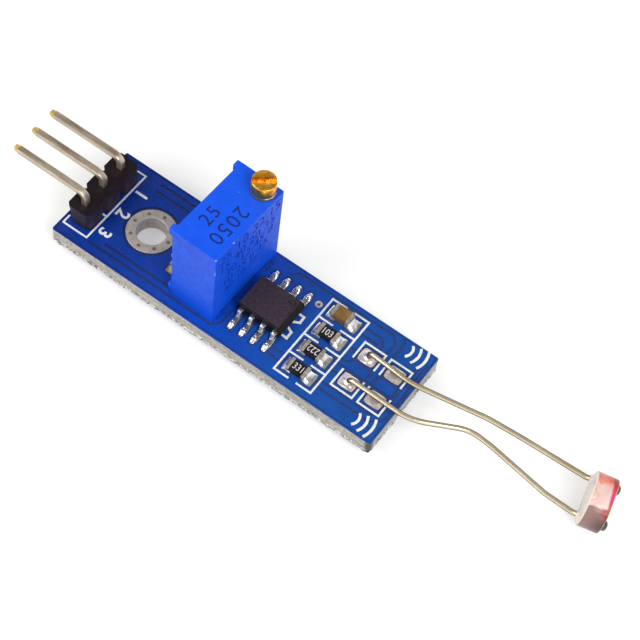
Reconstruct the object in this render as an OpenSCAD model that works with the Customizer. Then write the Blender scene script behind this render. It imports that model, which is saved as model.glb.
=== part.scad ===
// Light sensor module: narrow board with a right-angle header, multiturn trimmer,
// eight-lead chip, a row of chip parts and a light dependent resistor on long leads.
// X runs along the board to the sensor, Y across it, Z up. Sizes in mm.
// The origin lies on the axis of the mounting hole, at the underside of the board.

/* [Board] */
// length of the board
board_l = 36; // [35.5:0.5:42]
// width of the board
board_w = 11; // [10.8:0.2:13]
// thickness of the board
board_t = 1.6; // [1:0.1:2.4]
// corner radius of the board
board_r = 0.2; // [0.1:0.05:1]
// thickness of the copper and mask layer on each face
cover_t = 0.06; // [0.04:0.01:0.1]
// width of the gaps between copper areas
gap_w = 0.28; // [0.2:0.02:0.34]
// thickness of the white print
print_t = 0.03; // [0.02:0.01:0.06]
// width of the white printed lines
print_w = 0.2; // [0.14:0.02:0.24]

/* [Mounting hole] */
// distance of the hole from the header end
hole_x = 7.35; // [7:0.05:7.8]
// radius of the plated hole
hole_r = 1.5; // [1.4:0.05:1.6]
// outer radius of the metal ring round the hole
ring_r = 2.42; // [2.2:0.02:2.5]
// radius of the circle of small holes in the ring
stitch_ring_r = 1.95; // [1.85:0.05:2]
// radius of each small hole in the ring
stitch_r = 0.16; // [0.1:0.02:0.2]

/* [Header] */
// distance of the pin row from the end of the board
header_x = 1.68; // [1.55:0.05:1.8]
// distance between two pins
header_pitch = 2.54; // [2.5:0.01:2.6]
// width and height of the insulator
header_w = 2.5; // [2.3:0.05:2.54]
// chamfer of each insulator unit
header_chamfer = 0.35; // [0.3:0.05:0.6]
// side of the square pins
pin_w = 0.64; // [0.5:0.02:0.7]
// height of the flat run of the pins over the board
pin_rise = 3.93; // [3.8:0.05:4.6]
// reach of the pin tips beyond the end of the board
pin_reach = 6.55; // [5:0.05:8]
// radius of the pin bend at its middle line
pin_bend = 0.8; // [0.6:0.05:0.9]
// length that pins and leads stand out below the board
tail_l = 1.3; // [0.9:0.05:1.6]

/* [Trimmer] */
// distance of the trimmer from the header end
trim_x = 15.33; // [15.2:0.05:15.5]
// shift of the trimmer from the middle of the board
trim_shift = 0.6; // [0.3:0.05:0.7]
// angle that the trimmer sits askew
trim_askew = 1.7; // [0:0.1:2.5]
// thickness of the trimmer case
trim_w = 4.83; // [4.7:0.05:4.95]
// length of the trimmer case
trim_l = 9.53; // [9.4:0.05:9.7]
// height of the trimmer case
trim_h = 10.03; // [9.5:0.1:12]
// wall of the trimmer case
trim_wall = 0.5; // [0.4:0.05:0.6]
// thickness of the wall that holds the screw
trim_top = 1.4; // [1:0.1:1.8]
// height of the feet of the case
foot_h = 0.4; // [0.3:0.05:0.6]
// length of each foot
foot_l = 1.3; // [0.8:0.1:1.6]
// radius of the screw head
screw_head_r = 1.16; // [0.9:0.02:1.16]
// height of the screw head over the case
screw_head_h = 1.65; // [1:0.05:2]
// radius of the screw shank
screw_r = 0.7; // [0.6:0.02:0.72]
// width of the slot in the screw
slot_w = 0.6; // [0.4:0.05:0.7]
// depth of the slot in the screw
slot_h = 0.6; // [0.4:0.05:0.8]
// angle of the slot in the screw
slot_turn = 40; // [0:5:175]
// distance of the screw from the side of the case
screw_side = 1.4; // [1.35:0.05:1.5]
// distance of the screw from the end of the case
screw_end = 1.2; // [1.18:0.02:1.3]
// radial clearance of the screw in its holes
screw_fit = 0.05; // [0.02:0.01:0.08]
// height of the wiper carriage
carriage_h = 1.5; // [1.2:0.1:1.8]
// clearance of the carriage in the case
carriage_fit = 0.1; // [0.05:0.01:0.14]

/* [Chip] */
// distance of the chip from the header end
chip_x = 21.05; // [20.9:0.05:21.2]
// length of the chip body
chip_l = 4.9; // [4.7:0.05:5]
// width of the chip body
chip_w = 3.9; // [3.7:0.05:4]
// height of the chip body
chip_h = 1.45; // [1.2:0.05:1.7]
// gap under the chip body
chip_gap = 0.12; // [0.05:0.01:0.2]
// distance between the chip leads
chip_pitch = 1.27; // [1.2:0.01:1.28]
// width over the toes of the leads
chip_span = 6; // [5.8:0.05:6.2]
// width of each chip lead
lead_w = 0.42; // [0.3:0.02:0.5]
// thickness of each chip lead
lead_t = 0.2; // [0.15:0.01:0.25]
// length of the pads under the leads
chip_pad_l = 2; // [1.6:0.1:2.2]

/* [Chip parts] */
// middle of the row of chip parts from the header end
row_x = 26.85; // [26.8:0.05:26.95]
// distance between two chip parts
row_pitch = 2.29; // [2.2:0.01:2.3]
// length of a chip part
part_l = 2; // [1.8:0.05:2.2]
// width of a chip part
part_w = 1.25; // [1:0.05:1.4]
// height of a resistor
res_h = 0.55; // [0.4:0.05:0.7]
// height of the capacitor
cap_h = 0.95; // [0.7:0.05:1.2]
// length of the metal ends of a chip part
end_l = 0.35; // [0.25:0.05:0.5]
// shift of the parts on their pads
part_shift = -0.2; // [-0.25:0.05:0.1]

/* [Light sensor] */
// distance of the two used pads from the sensor end
ldr_pad_x = 5.1; // [5:0.05:5.15]
// distance of the two spare pads from the sensor end
spare_pad_x = 2.2; // [2.1:0.05:2.3]
// distance between the pads across the board
ldr_pad_pitch = 3.16; // [3.1:0.02:3.3]
// length of each pad
ldr_pad_l = 1.7; // [1.5:0.05:1.75]
// width of each pad
ldr_pad_w = 1.5; // [1.3:0.05:1.6]
// radius of the lead wires
wire_r = 0.25; // [0.2:0.01:0.3]
// bend radius of the leads at the board
wire_bend = 0.6; // [0.5:0.05:0.7]
// diameter of the sensor disc
ldr_d = 5.1; // [4.9:0.05:5.3]
// width of the disc over its flats
ldr_flat_w = 4.3; // [4.1:0.05:4.5]
// thickness of the disc
ldr_t = 2.05; // [1.8:0.05:2.3]
// distance between the leads at the disc
ldr_lead_pitch = 3.4; // [3.2:0.05:3.5]
// wall of clear resin over the ceramic plate
resin_t = 0.3; // [0.2:0.02:0.4]
// distance of the disc from the end of the board
ldr_reach = 18.85; // [17:0.05:22]
// shift of the disc from the middle line of the board
ldr_side = 2.2; // [1.5:0.1:2.6]
// height of the disc's middle over the underside of the board
ldr_z = 1.75; // [1.4:0.05:2.4]
// turns of the disc about X, Y and Z
ldr_turn = [12.5, 5, 14.5];

/* [Hidden] */
$fn = 32;
e = 0.01;
// a board shorter than this has no room for the parts
least_l = row_x + 8.65;
end_x = max(board_l, least_l);
mid_y = board_w / 2;
top_z = board_t;
pin_hole_r = 0.52;
lead_hole_r = 0.42;
trim_y = mid_y + trim_shift;
screw_at = [trim_w / 2 - screw_side, trim_l / 2 - screw_end];
case_z = foot_h;
case_top = case_z + trim_h;
seal_h = 1;
cavity_z = case_z + seal_h;
cavity_h = trim_h - seal_h - trim_top;
travel = cavity_h - carriage_h - 0.6;
carriage_z = cavity_z + (cavity_h - carriage_h) / 2;
trim_pin_r = 0.22;
element_t = 0.55;
track_t = 0.04;
track_w = 0.8;
carriage_y = screw_at.y - screw_r - 0.7;
track_y = [carriage_y - 2.27, carriage_y - 0.67];
row_y = [for (i = [0:3]) mid_y + (i - 1.5) * row_pitch];
part_h = [res_h, res_h, res_h, cap_h];
pad_in = part_l / 2 - end_l - 0.05;
pad_out = 1.62;
pad_wide = 1.45;
part_x = row_x + part_shift;
chip_row = [for (i = [0:3]) (i - 1.5) * chip_pitch];
pad_y0 = chip_span / 2 - 1.15;
side_part = [11.6, mid_y - 0.95];
ldr_y = [mid_y - ldr_pad_pitch / 2, mid_y + ldr_pad_pitch / 2];
ldr_at = [end_x + ldr_reach, mid_y + ldr_side, ldr_z];
via_open = [24.1, mid_y + 3.35];
via_shut = [end_x - 6.73, mid_y + 0.68];
used_x = end_x - ldr_pad_x;
spare_x = end_x - spare_pad_x;
clear = 0.14;
wire_sides = 14;
wire_steps = 4;
function turn_x(v, a) = [v.x, v.y * cos(a) - v.z * sin(a), v.y * sin(a) + v.z * cos(a)];
function turn_y(v, a) = [v.x * cos(a) + v.z * sin(a), v.y, v.z * cos(a) - v.x * sin(a)];
function turn_z(v, a) = [v.x * cos(a) - v.y * sin(a), v.x * sin(a) + v.y * cos(a), v.z];
function turned(v, t) = turn_z(turn_y(turn_x(v, t.x), t.y), t.z);
function unit(v) = v / norm(v);

// everything is drawn from the corner of the board, then moved to the hole
module from_corner() translate([-hole_x, -mid_y, 0]) children();
module from_trimmer() from_corner() translate([trim_x, trim_y, top_z]) rotate([0, 0, -trim_askew]) children();
module from_sensor() from_corner() translate(ldr_at) rotate(ldr_turn) children();

module plate(l, w, r) {
  translate([r, 0]) square([l - 2 * r, w]);
  translate([0, r]) square([l, w - 2 * r]);
  for (x = [r, l - r], y = [r, w - r]) translate([x, y]) circle(r);
}
module pad(l, w, r = 0.3) translate([-l / 2, -w / 2]) plate(l, w, r);
// point beside corner i of a bent line, w / 2 to its left
function beside(p, i, w) = let (
    last = len(p) - 1,
    a = unit(p[max(i, 1)] - p[max(i, 1) - 1]),
    b = unit(p[min(i, last - 1) + 1] - p[min(i, last - 1)]),
    m = [-a.y - b.y, a.x + b.x]
  ) p[i] + m * w / 2 / (1 + a * b);
module line(p, w) polygon(concat([for (i = [0:len(p) - 1]) beside(p, i, w)],
  [for (i = [len(p) - 1:-1:0]) beside(p, i, -w)]));
module board_shape() plate(end_x, board_w, board_r);

module each_header() for (i = [-1:1]) translate([header_x, mid_y + i * header_pitch]) children();
module each_trim_pin() for (i = [-1:1]) translate([0, i * 2.54]) children();
module each_ldr_pad() for (y = ldr_y) translate([used_x, y]) children();
module each_spare() for (y = ldr_y) translate([spare_x, y]) children();
module each_chip_pad() for (x = chip_row, s = [-1, 1])
  translate([chip_x + x, mid_y]) mirror([0, s < 0 ? 1 : 0]) children();
module chip_pad_shape(more = 0)
  translate([0, pad_y0 + chip_pad_l / 2]) pad(0.62 + 2 * more, chip_pad_l + 2 * more, 0.3);
module part_pad_shape(more = 0) for (s = [-1, 1])
  translate([s * (pad_in + pad_out) / 2, 0]) pad(pad_out - pad_in + 2 * more, pad_wide + 2 * more, 0.12);

// gaps that part the copper on the front face
module top_gaps() {
  fy = 1.02;
  by = board_w - 0.88;
  line([[3.45, fy], [17.6, fy], [18.3, 1.7], [18.3, 3.4]], gap_w);
  line([[4.9, fy + 0.7], [17.1, fy + 0.7]], gap_w);
  line([[4.9, by], [17.6, by], [18.15, by - 0.5], [18.15, by - 1.6]], gap_w);
  line([[4.9, by - 0.84], [17.2, by - 0.84]], gap_w);
  line([[20.35, by - 0.4], [20.8, by + 0.26], [end_x - 4.6, by + 0.26], [end_x - 4, by - 0.3],
    [end_x - 4, mid_y - 0.62]], gap_w);
  line([[end_x - 3.7, board_w - 0.3], [end_x - 3.32, board_w - 0.7], [end_x - 3.32, mid_y - 0.62]], gap_w);
  sx = row_x + 1.65;
  line([[sx, row_y[3] + 0.5], [used_x - 0.25, row_y[3] + 0.5], [used_x + 0.35, row_y[3] - 0.1],
    [used_x + 0.35, ldr_y[1]]], gap_w);
  line([[sx, row_y[3] - 0.28], [used_x - 0.18, row_y[3] - 0.28], [used_x - 0.18, ldr_y[1]]], gap_w);
  line([[sx, mid_y - 0.62], [end_x - 1.12, mid_y - 0.62], [end_x - 1.12, mid_y + 0.64],
    [end_x - 3.32, mid_y + 0.64]], gap_w);
  line([[via_shut.x + 0.68, mid_y + 0.62], [end_x - 4, mid_y + 0.62]], gap_w);
  line([[sx, mid_y - 1.5], [used_x - 1, mid_y - 1.5]], gap_w);
  line([[sx, 2.5], [end_x - 1.7, 2.5], [end_x - 0.95, 3.25], [end_x - 0.95, board_w - 1.2]], gap_w);
  line([[sx, 1.78], [end_x - 1.4, 1.78], [end_x - 0.38, 2.8], [end_x - 0.38, board_w - 1.2]], gap_w);
  for (y = [2.6, 1.82]) line([[chip_x + 2.25, y], [row_x - 1.65, y]], gap_w);
  intersection() {
    translate(via_shut) difference() {
      circle(0.86);
      circle(0.86 - gap_w);
    }
    translate([via_shut.x - 0.57, 0]) square([2, board_w]);
  }
}
// gaps that part the copper on the back face
module back_gaps() {
  line([[3.6, 1.1], [12.4, 1.1], [14, 2.4]], gap_w);
  line([[3.6, 1.8], [11.6, 1.8], [13.6, 3.4]], gap_w);
  line([[17, 2.2], [24.4, 2.2], [26.4, mid_y - 1.3], [29.4, mid_y - 1.3]], gap_w);
  line([[17, 2.9], [24, 2.9], [26.2, mid_y - 0.35], [end_x - 3.8, mid_y - 0.35]], gap_w);
  line([[16.8, board_w - 1.8], [22.3, board_w - 1.8], [22.9, board_w - 1.2], [end_x - 1, board_w - 1.2]], gap_w);
  line([[16.8, board_w - 3.2], [29.3, board_w - 3.2]], gap_w);
}
module holes(ring, pins, leads) {
  translate([hole_x, mid_y]) circle(ring, $fn = 64);
  each_header() circle(pins);
  translate([trim_x, trim_y]) rotate(-trim_askew) each_trim_pin() circle(pins);
  each_ldr_pad() circle(leads);
  each_spare() circle(leads);
}
module cover_edge() difference() {
  translate([0.14, 0.14]) plate(end_x - 0.28, board_w - 0.28, board_r);
  translate([0.24, 0.24]) plate(end_x - 0.48, board_w - 0.48, board_r);
}

module circuit_board() color("#8f8b82") from_corner() linear_extrude(board_t) difference() {
  board_shape();
  holes(hole_r, pin_hole_r, lead_hole_r);
  translate(via_open) circle(0.17);
}
module top_cover() color("#0b3f9c") from_corner() translate([0, 0, top_z]) linear_extrude(cover_t) difference() {
  board_shape();
  cover_edge();
  top_gaps();
  holes(ring_r + gap_w, 0.86, lead_hole_r);
  each_ldr_pad() pad(ldr_pad_l + 2 * clear, ldr_pad_w + 2 * clear);
  each_spare() pad(ldr_pad_l + 2 * clear, ldr_pad_w + 2 * clear);
  each_chip_pad() chip_pad_shape(clear);
  for (y = row_y) translate([row_x, y]) part_pad_shape(clear);
  translate(side_part) rotate(90) part_pad_shape(0.05);
  translate(via_open) circle(0.42);
}
module bottom_cover() color("#0b3f9c") from_corner() translate([0, 0, -cover_t]) linear_extrude(cover_t) difference() {
  board_shape();
  cover_edge();
  back_gaps();
  holes(ring_r + gap_w, 0.98, 0.88);
  translate(via_open) circle(0.42);
}
module mounting_ring() color("#b9b2a4") from_corner() translate([hole_x, mid_y, 0]) difference() {
  for (z = [-cover_t, top_z]) translate([0, 0, z]) cylinder(r = ring_r, h = cover_t, $fn = 64);
  translate([0, 0, -1]) cylinder(r = hole_r, h = board_t + 2, $fn = 64);
  for (i = [0:7], z = [-cover_t - e, top_z + cover_t * 0.4]) rotate(i * 45)
    translate([stitch_ring_r, 0, z]) cylinder(r = stitch_r, h = cover_t * 0.6 + e, $fn = 16);
}
module via_ring() color("#b9b2a4") from_corner() translate([via_open.x, via_open.y, -cover_t]) difference() {
  union() {
    cylinder(r = 0.36, h = cover_t);
    cylinder(r = 0.17, h = board_t + 2 * cover_t);
    translate([0, 0, cover_t + board_t]) cylinder(r = 0.36, h = cover_t);
  }
  translate([0, 0, -e]) cylinder(r = 0.12, h = board_t + 3 * cover_t);
}
module printed_lines() color("#e9eae6") from_corner() translate([0, 0, top_z + cover_t]) linear_extrude(print_t)
  difference() {
    print_shape();
    top_gaps();
  }
module print_shape() {
  hx0 = 0.36;
  hx1 = 3.12;
  hy = header_pitch * 1.5 + 0.55;
  line([[hx0, mid_y - hy + 0.5], [hx0, mid_y - hy], [hx1, mid_y - hy], [hx1, mid_y + hy], [2.3, mid_y + hy]], print_w);
  line([[2.67, mid_y - 1.35], [hx1, mid_y - 1.35]], print_w);
  x0 = row_x - 2.02;
  x1 = row_x + 2.02;
  ya = row_y[0] - row_pitch / 2;
  yb = row_y[3] + row_pitch / 2;
  line([[row_x - 0.5, ya], [x0, ya], [x0, yb], [row_x - 0.5, yb]], print_w);
  line([[row_x + 0.5, ya], [x1, ya], [x1, yb], [row_x + 0.5, yb]], print_w);
  for (i = [1:3]) {
    line([[x0, ya + i * row_pitch], [row_x - 0.5, ya + i * row_pitch]], print_w);
    line([[row_x + 0.5, ya + i * row_pitch], [x1, ya + i * row_pitch]], print_w);
  }
  for (x = [used_x, spare_x], s = [-1, 1]) translate([x, mid_y + s * ldr_pad_pitch / 2])
    line([[-1.15, -s * 0.75], [-1.15, s * 1.15], [1.15, s * 1.15], [1.15, -s * 0.75]], print_w);
  for (s = [-1, 1]) translate([chip_x + chip_l / 2, mid_y])
    line([[0.12, s * 1.4], [0.36, s * 1.4], [0.36, s * 0.66], [0.12, s * 0.5]], print_w);
  for (s = [-1, 1], a = [[0.95, 46], [1.68, 32], [2.42, 24]]) translate([end_x - 3.25, mid_y + s * (mid_y - 1.2) + 0.12])
    intersection() {
      difference() {
        circle(a[0] + print_w * 0.6, $fn = 48);
        circle(a[0] - print_w * 0.6, $fn = 48);
      }
      polygon([[0, 0], [4 * cos(a[1]), -4 * sin(a[1])], [5, 0], [4 * cos(a[1]), 4 * sin(a[1])]]);
    }
}

module header_insulator() color("#1c1714") from_corner() translate([0, 0, top_z + cover_t]) difference() {
  union() {
    each_header() linear_extrude(header_w) header_unit();
    translate([header_x - header_w / 2 + 0.55, mid_y - header_pitch, 0])
      cube([header_w - 1.1, 2 * header_pitch, header_w]);
  }
  each_header() translate([-pin_w / 2, -pin_w / 2, -1]) cube([pin_w, pin_w, header_w + 2]);
  each_header() translate([-0.6, -0.6, header_w - 0.14]) cube([1.2, 1.2, 1]);
}
module header_unit() polygon([
  for (q = [0:3]) for (k = [-1, 1])
    let (h = header_w / 2, c = header_w / 2 - header_chamfer, a = q * 90)
    [h * cos(a) - k * c * sin(a), h * sin(a) + k * c * cos(a)]
]);
module header_pin(i) color("#b9b1a3") from_corner() translate([header_x, mid_y + i * header_pitch, 0]) {
  top = top_z + pin_rise;
  difference() {
    union() {
      translate([-pin_w / 2, -pin_w / 2, -tail_l]) cube([pin_w, pin_w, tail_l + top - pin_bend]);
      translate([-pin_bend, 0, top - pin_bend]) rotate([90, 0, 0]) rotate_extrude(angle = 90)
        translate([pin_bend - pin_w / 2, -pin_w / 2]) square(pin_w);
      translate([-header_x - pin_reach, -pin_w / 2, top - pin_w / 2])
        cube([header_x + pin_reach - pin_bend, pin_w, pin_w]);
    }
    translate([-header_x - pin_reach, 0, top]) pin_point();
    translate([0, 0, -tail_l]) rotate([0, -90, 0]) pin_point();
  }
}
// what is cut from a square bar to leave a blunt pyramid point
module pin_point() for (a = [0:3]) rotate([a * 90, 0, 0])
  rotate([90, 0, 0]) translate([0, 0, -pin_w]) linear_extrude(2 * pin_w)
    polygon([[-e, pin_w / 2 - 0.17], [0, pin_w / 2 - 0.17], [0.5, pin_w / 2], [0.5, pin_w], [-e, pin_w]]);
module header_pin_1() header_pin(-1);
module header_pin_2() header_pin(0);
module header_pin_3() header_pin(1);
// solder cone under the board, with its fill in the hole
module joint_below(base, hole, tip, fill) {
  translate([0, 0, -cover_t]) cylinder(r = hole, h = fill + cover_t);
  translate([0, 0, -cover_t - 0.85]) rotate_extrude() difference() {
    translate([0, 0]) square([base, 0.85]);
    translate([base + 0.03, -0.05]) circle(base - tip, $fn = 48);
  }
}
module header_solder() color("#c9c8c4") from_corner() each_header() difference() {
  joint_below(0.9, pin_hole_r, 0.42, board_t);
  translate([-pin_w / 2, -pin_w / 2, -3]) cube([pin_w, pin_w, 6]);
}

module trimmer_case() color("#1257e8") from_trimmer() difference() {
  union() {
    translate([-trim_w / 2, -trim_l / 2, case_z]) cube([trim_w, trim_l, trim_h]);
    for (y = [-trim_l / 2, trim_l / 2 - foot_l]) translate([-trim_w / 2, y, cover_t])
      cube([trim_w, foot_l, foot_h]);
    for (y = [-trim_l / 2, trim_l / 2 - 0.75], z = [case_z, case_top - 0.95])
      translate([-trim_w / 2 - 0.4, y, z]) cube([0.5, 0.75, 0.95]);
  }
  translate([-trim_w / 2 + trim_wall, -trim_l / 2 + trim_wall, case_z - e])
    cube([trim_w - 2 * trim_wall, trim_l - 2 * trim_wall + 0.12, seal_h + cavity_h + e]);
  translate([screw_at.x, screw_at.y, 0]) cylinder(r = screw_r + screw_fit, h = case_top + 1);
}
module trimmer_base() color("#2a5fc4") from_trimmer() difference() {
  translate([-trim_w / 2 + trim_wall, -trim_l / 2 + trim_wall, case_z])
    cube([trim_w - 2 * trim_wall, trim_l - 2 * trim_wall + 0.12, seal_h]);
  each_trim_pin() translate([0, 0, -1]) cylinder(r = trim_pin_r, h = 5);
  translate([screw_at.x, screw_at.y, case_z + 0.4]) cylinder(r = screw_r + screw_fit, h = 5);
}
module trimmer_element() color("#e8e2d2") from_trimmer()
  translate([-trim_w / 2 + trim_wall, -trim_l / 2 + trim_wall, cavity_z])
    cube([element_t, track_y[1] + track_w + 0.2 + trim_l / 2 - trim_wall, cavity_h]);
module trimmer_track() color("#202020") from_trimmer() for (y = track_y)
  translate([-trim_w / 2 + trim_wall + element_t, y, cavity_z + 0.2]) cube([track_t, track_w, cavity_h - 0.4]);
module trimmer_screw() color("#b5892e") from_trimmer() translate([screw_at.x, screw_at.y, 0]) difference() {
  union() {
    translate([0, 0, case_z + 0.45]) cylinder(r = screw_r, h = trim_h - 0.45);
    translate([0, 0, case_top + 0.03]) rotate_extrude() polygon([[0, -0.1], [screw_r, -0.1], [screw_r, 0],
      [screw_head_r - 0.08, 0], [screw_head_r, 0.08], [screw_head_r, screw_head_h - 0.15],
      [screw_head_r - 0.15, screw_head_h], [0, screw_head_h]]);
  }
  rotate(slot_turn) translate([-2, -slot_w / 2, case_top + 0.03 + screw_head_h - slot_h]) cube([4, slot_w, 3]);
}
module trimmer_carriage() color("#ded8c4") from_trimmer() {
  x0 = -trim_w / 2 + trim_wall + element_t + track_t + 0.3;
  y0 = carriage_y;
  x1 = trim_w / 2 - trim_wall - carriage_fit;
  y1 = trim_l / 2 - trim_wall + 0.12 - carriage_fit;
  difference() {
    translate([x0, y0, carriage_z]) cube([x1 - x0, y1 - y0, carriage_h]);
    translate([screw_at.x, screw_at.y, 0]) cylinder(r = screw_r + screw_fit, h = 20);
  }
}
// spring contact that bridges the two tracks
module trimmer_wiper() color("#c8a050") from_trimmer() {
  x0 = -trim_w / 2 + trim_wall + element_t + track_t + 0.02;
  x1 = -trim_w / 2 + trim_wall + element_t + track_t + 0.3;
  y0 = track_y[0] + track_w / 2 - 0.15;
  translate([0, 0, carriage_z + carriage_h / 2 - 0.2]) linear_extrude(0.4) {
    translate([x1, y0]) square([0.15, carriage_y - y0]);
    for (y = track_y) translate([x0, y + track_w / 2 - 0.15]) square([x1 - x0 + 0.15, 0.3]);
  }
}
module trimmer_pins() color("#c9c8c4") from_trimmer() each_trim_pin()
  translate([0, 0, -board_t - tail_l]) cylinder(r = trim_pin_r, h = board_t + tail_l + case_z + seal_h);
module trimmer_solder() color("#c9c8c4") from_trimmer() each_trim_pin() translate([0, 0, -board_t]) difference() {
  joint_below(0.9, pin_hole_r, 0.26, board_t);
  translate([0, 0, -3]) cylinder(r = trim_pin_r, h = 6);
}

module chip_body() color("#241d22") from_corner() translate([chip_x, mid_y, top_z + cover_t + chip_gap]) difference() {
  intersection() {
    rotate([90, 0, 0]) linear_extrude(chip_w + 1, center = true) chip_side(chip_l);
    rotate([90, 0, 90]) linear_extrude(chip_l + 1, center = true) chip_side(chip_w);
  }
  translate([chip_l / 2 - 0.85, chip_w / 2 - 0.85, chip_h - 0.08]) cylinder(r = 0.33, h = 1);
  for (x = chip_row, s = [-1, 1]) translate([x - lead_w / 2, s > 0 ? chip_w / 2 - 0.4 : -chip_w / 2 - 0.6,
    chip_h * 0.48 - lead_t / 2]) cube([lead_w, 1, lead_t]);
}
module chip_side(l) polygon([[-l / 2 + 0.12, 0], [l / 2 - 0.12, 0], [l / 2, chip_h * 0.48],
  [l / 2 - 0.16, chip_h], [-l / 2 + 0.16, chip_h], [-l / 2, chip_h * 0.48]]);
module chip_leads() color("#bdb9b0") from_corner() each_chip_pad() {
  za = top_z + cover_t + chip_gap + chip_h * 0.48;
  zb = top_z + cover_t + lead_t / 2;
  ya = chip_w / 2 - 0.38;
  yb = chip_span / 2;
  translate([-lead_w / 2, 0, 0]) rotate([90, 0, 90]) linear_extrude(lead_w) {
    line([[ya, za], [chip_w / 2 + 0.2, za], [yb - 0.62, zb], [yb, zb]], lead_t);
  }
}
// pads with the solder that climbs the toes
module chip_solder() color("#d5d5d2") from_corner() each_chip_pad() difference() {
  union() {
    translate([0, 0, top_z]) linear_extrude(cover_t) chip_pad_shape();
    intersection() {
      translate([0, 0, top_z]) linear_extrude(1) chip_pad_shape();
      translate([-1, 0, top_z + cover_t]) rotate([90, 0, 90]) linear_extrude(2)
        polygon([[chip_span / 2, 0], [pad_y0 + chip_pad_l, 0], [pad_y0 + chip_pad_l - 0.05, 0.03],
          [chip_span / 2 + 0.3, 0.12], [chip_span / 2, lead_t]]);
    }
  }
  translate([-1, chip_span / 2 - 1, top_z + cover_t]) cube([2, 1, 1]);
}

module chip_part(h) translate([-part_l / 2 + end_l, -part_w / 2, 0]) cube([part_l - 2 * end_l, part_w, h]);
module part_ends(h) for (s = [-1, 1]) translate([s > 0 ? part_l / 2 - end_l : -part_l / 2, -part_w / 2 - 0.02, 0])
  cube([end_l, part_w + 0.04, h + 0.03]);
module at_row(i) from_corner() translate([part_x, row_y[i], top_z + cover_t]) children();
module resistor_1() color("#17120f") at_row(0) chip_part(res_h);
module resistor_2() color("#17120f") at_row(1) chip_part(res_h);
module resistor_3() color("#17120f") at_row(2) chip_part(res_h);
module capacitor() color("#8a6a3a") at_row(3) chip_part(cap_h);
module part_end_caps() color("#b3ada3") for (i = [0:3]) at_row(i) part_ends(part_h[i]);
// pad, and a hollow fillet of solder up each metal end
module end_solder(h, shift, out) for (s = [-1, 1]) mirror([s < 0 ? 1 : 0, 0, 0]) {
  face = part_l / 2 + s * shift;
  r = h * 0.8;
  translate([pad_in, -pad_wide / 2, -cover_t]) cube([pad_out - pad_in, pad_wide, cover_t]);
  translate([face, pad_wide / 2 - 0.1, 0]) rotate([90, 0, 0]) linear_extrude(pad_wide - 0.2) difference() {
    square([min(r, pad_out - face - 0.04), r]);
    translate([r + 0.06, r + 0.06]) circle(r, $fn = 96);
  }
}
module part_solder() color("#d5d5d2") for (i = [0:3]) from_corner()
  translate([row_x, row_y[i], top_z + cover_t]) end_solder(part_h[i], part_shift, pad_out);
module side_part_body() color("#d9d2bd") from_corner() translate([side_part.x, side_part.y, top_z + cover_t])
  rotate(90) chip_part(res_h);
module side_part_ends() color("#b3ada3") from_corner() translate([side_part.x, side_part.y, top_z + cover_t])
  rotate(90) part_ends(res_h);
module side_part_solder() color("#d5d5d2") from_corner() translate([side_part.x, side_part.y, top_z + cover_t])
  rotate(90) end_solder(res_h, 0, pad_out);

// round wire swept through the given points, with a bend of its own radius at each inner one
function tangent(p, i, bends) = let (a = unit(p[i] - p[i - 1]), b = unit(p[i + 1] - p[i]))
  bends[i - 1] * tan(acos(a * b) / 2);
function bend_rings(p, i, bends) = let (
    a = unit(p[i] - p[i - 1]),
    b = unit(p[i + 1] - p[i]),
    out = -unit(b - a * (a * b)),
    middle = p[i] - a * tangent(p, i, bends) - out * bends[i - 1],
    turn = acos(a * b)
  ) [for (k = [0:wire_steps]) let (t = turn * k / wire_steps)
    [middle + bends[i - 1] * (out * cos(t) + a * sin(t)), a * cos(t) - out * sin(t)]];
function wire_rings(p, bends) = let (last = len(p) - 1) concat(
  [[p[0], unit(p[1] - p[0])]],
  [for (i = [1:last - 1]) each bend_rings(p, i, bends)],
  [[p[last], unit(p[last] - p[last - 1])]]);
// a direction across the wire, carried along it without twist
function across(q, i, v) = i >= len(q) ? [] :
  let (w = unit(v - q[i][1] * (v * q[i][1]))) concat([w], across(q, i + 1, w));
module wire(p, bends, r) {
  q = wire_rings(p, bends);
  side = across(q, 0, [0, 1, 0]);
  m = wire_sides;
  last = len(q) - 1;
  polyhedron(
    [for (i = [0:last], k = [0:m - 1])
      q[i][0] + r * (side[i] * cos(360 * k / m) + cross(q[i][1], side[i]) * sin(360 * k / m))],
    concat([[for (k = [m - 1:-1:0]) k], [for (k = [0:m - 1]) last * m + k]],
      [for (i = [0:last - 1], k = [0:m - 1]) each let (a = i * m + k, b = i * m + (k + 1) % m)
        [[a, b, b + m], [a, b + m, a + m]]]));
}
// points of a lead: up through the board, over its end and on to the back of the disc
function lead_end(s, out) = ldr_at + turned([-ldr_t / 2 - out, s * ldr_lead_pitch / 2, 0], ldr_turn);
function lead_front(s) = ldr_at + turned([ldr_t / 2 + 0.1, s * ldr_lead_pitch / 2, 0], ldr_turn);
function lead_path(s, over, way) = concat(
  [[used_x, mid_y + s * ldr_pad_pitch / 2, -tail_l], [used_x, mid_y + s * ldr_pad_pitch / 2, top_z + over]],
  [for (q = way) [end_x + q.x * ldr_reach, mid_y + q.y, top_z + q.z]], [lead_end(s, 0.7), lead_front(s)]);
way_1 = [[0.08, -1.66, 0.75], [0.329, 1, 0.45], [0.453, 0.93, 0.3], [0.782, 0.15, 0]];
way_2 = [[-0.03, 1.25, 1.1], [0.371, 2.7, 0.95], [0.541, 3.02, 0.8]];
module sensor_lead_1() color("#a89f8c") from_corner() wire(lead_path(-1, 0.75, way_1), [wire_bend, 6, 4, 8, 5, 2], wire_r);
module sensor_lead_2() color("#a89f8c") from_corner() wire(lead_path(1, 1.1, way_2), [wire_bend, 8, 12, 12, 2], wire_r);
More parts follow.
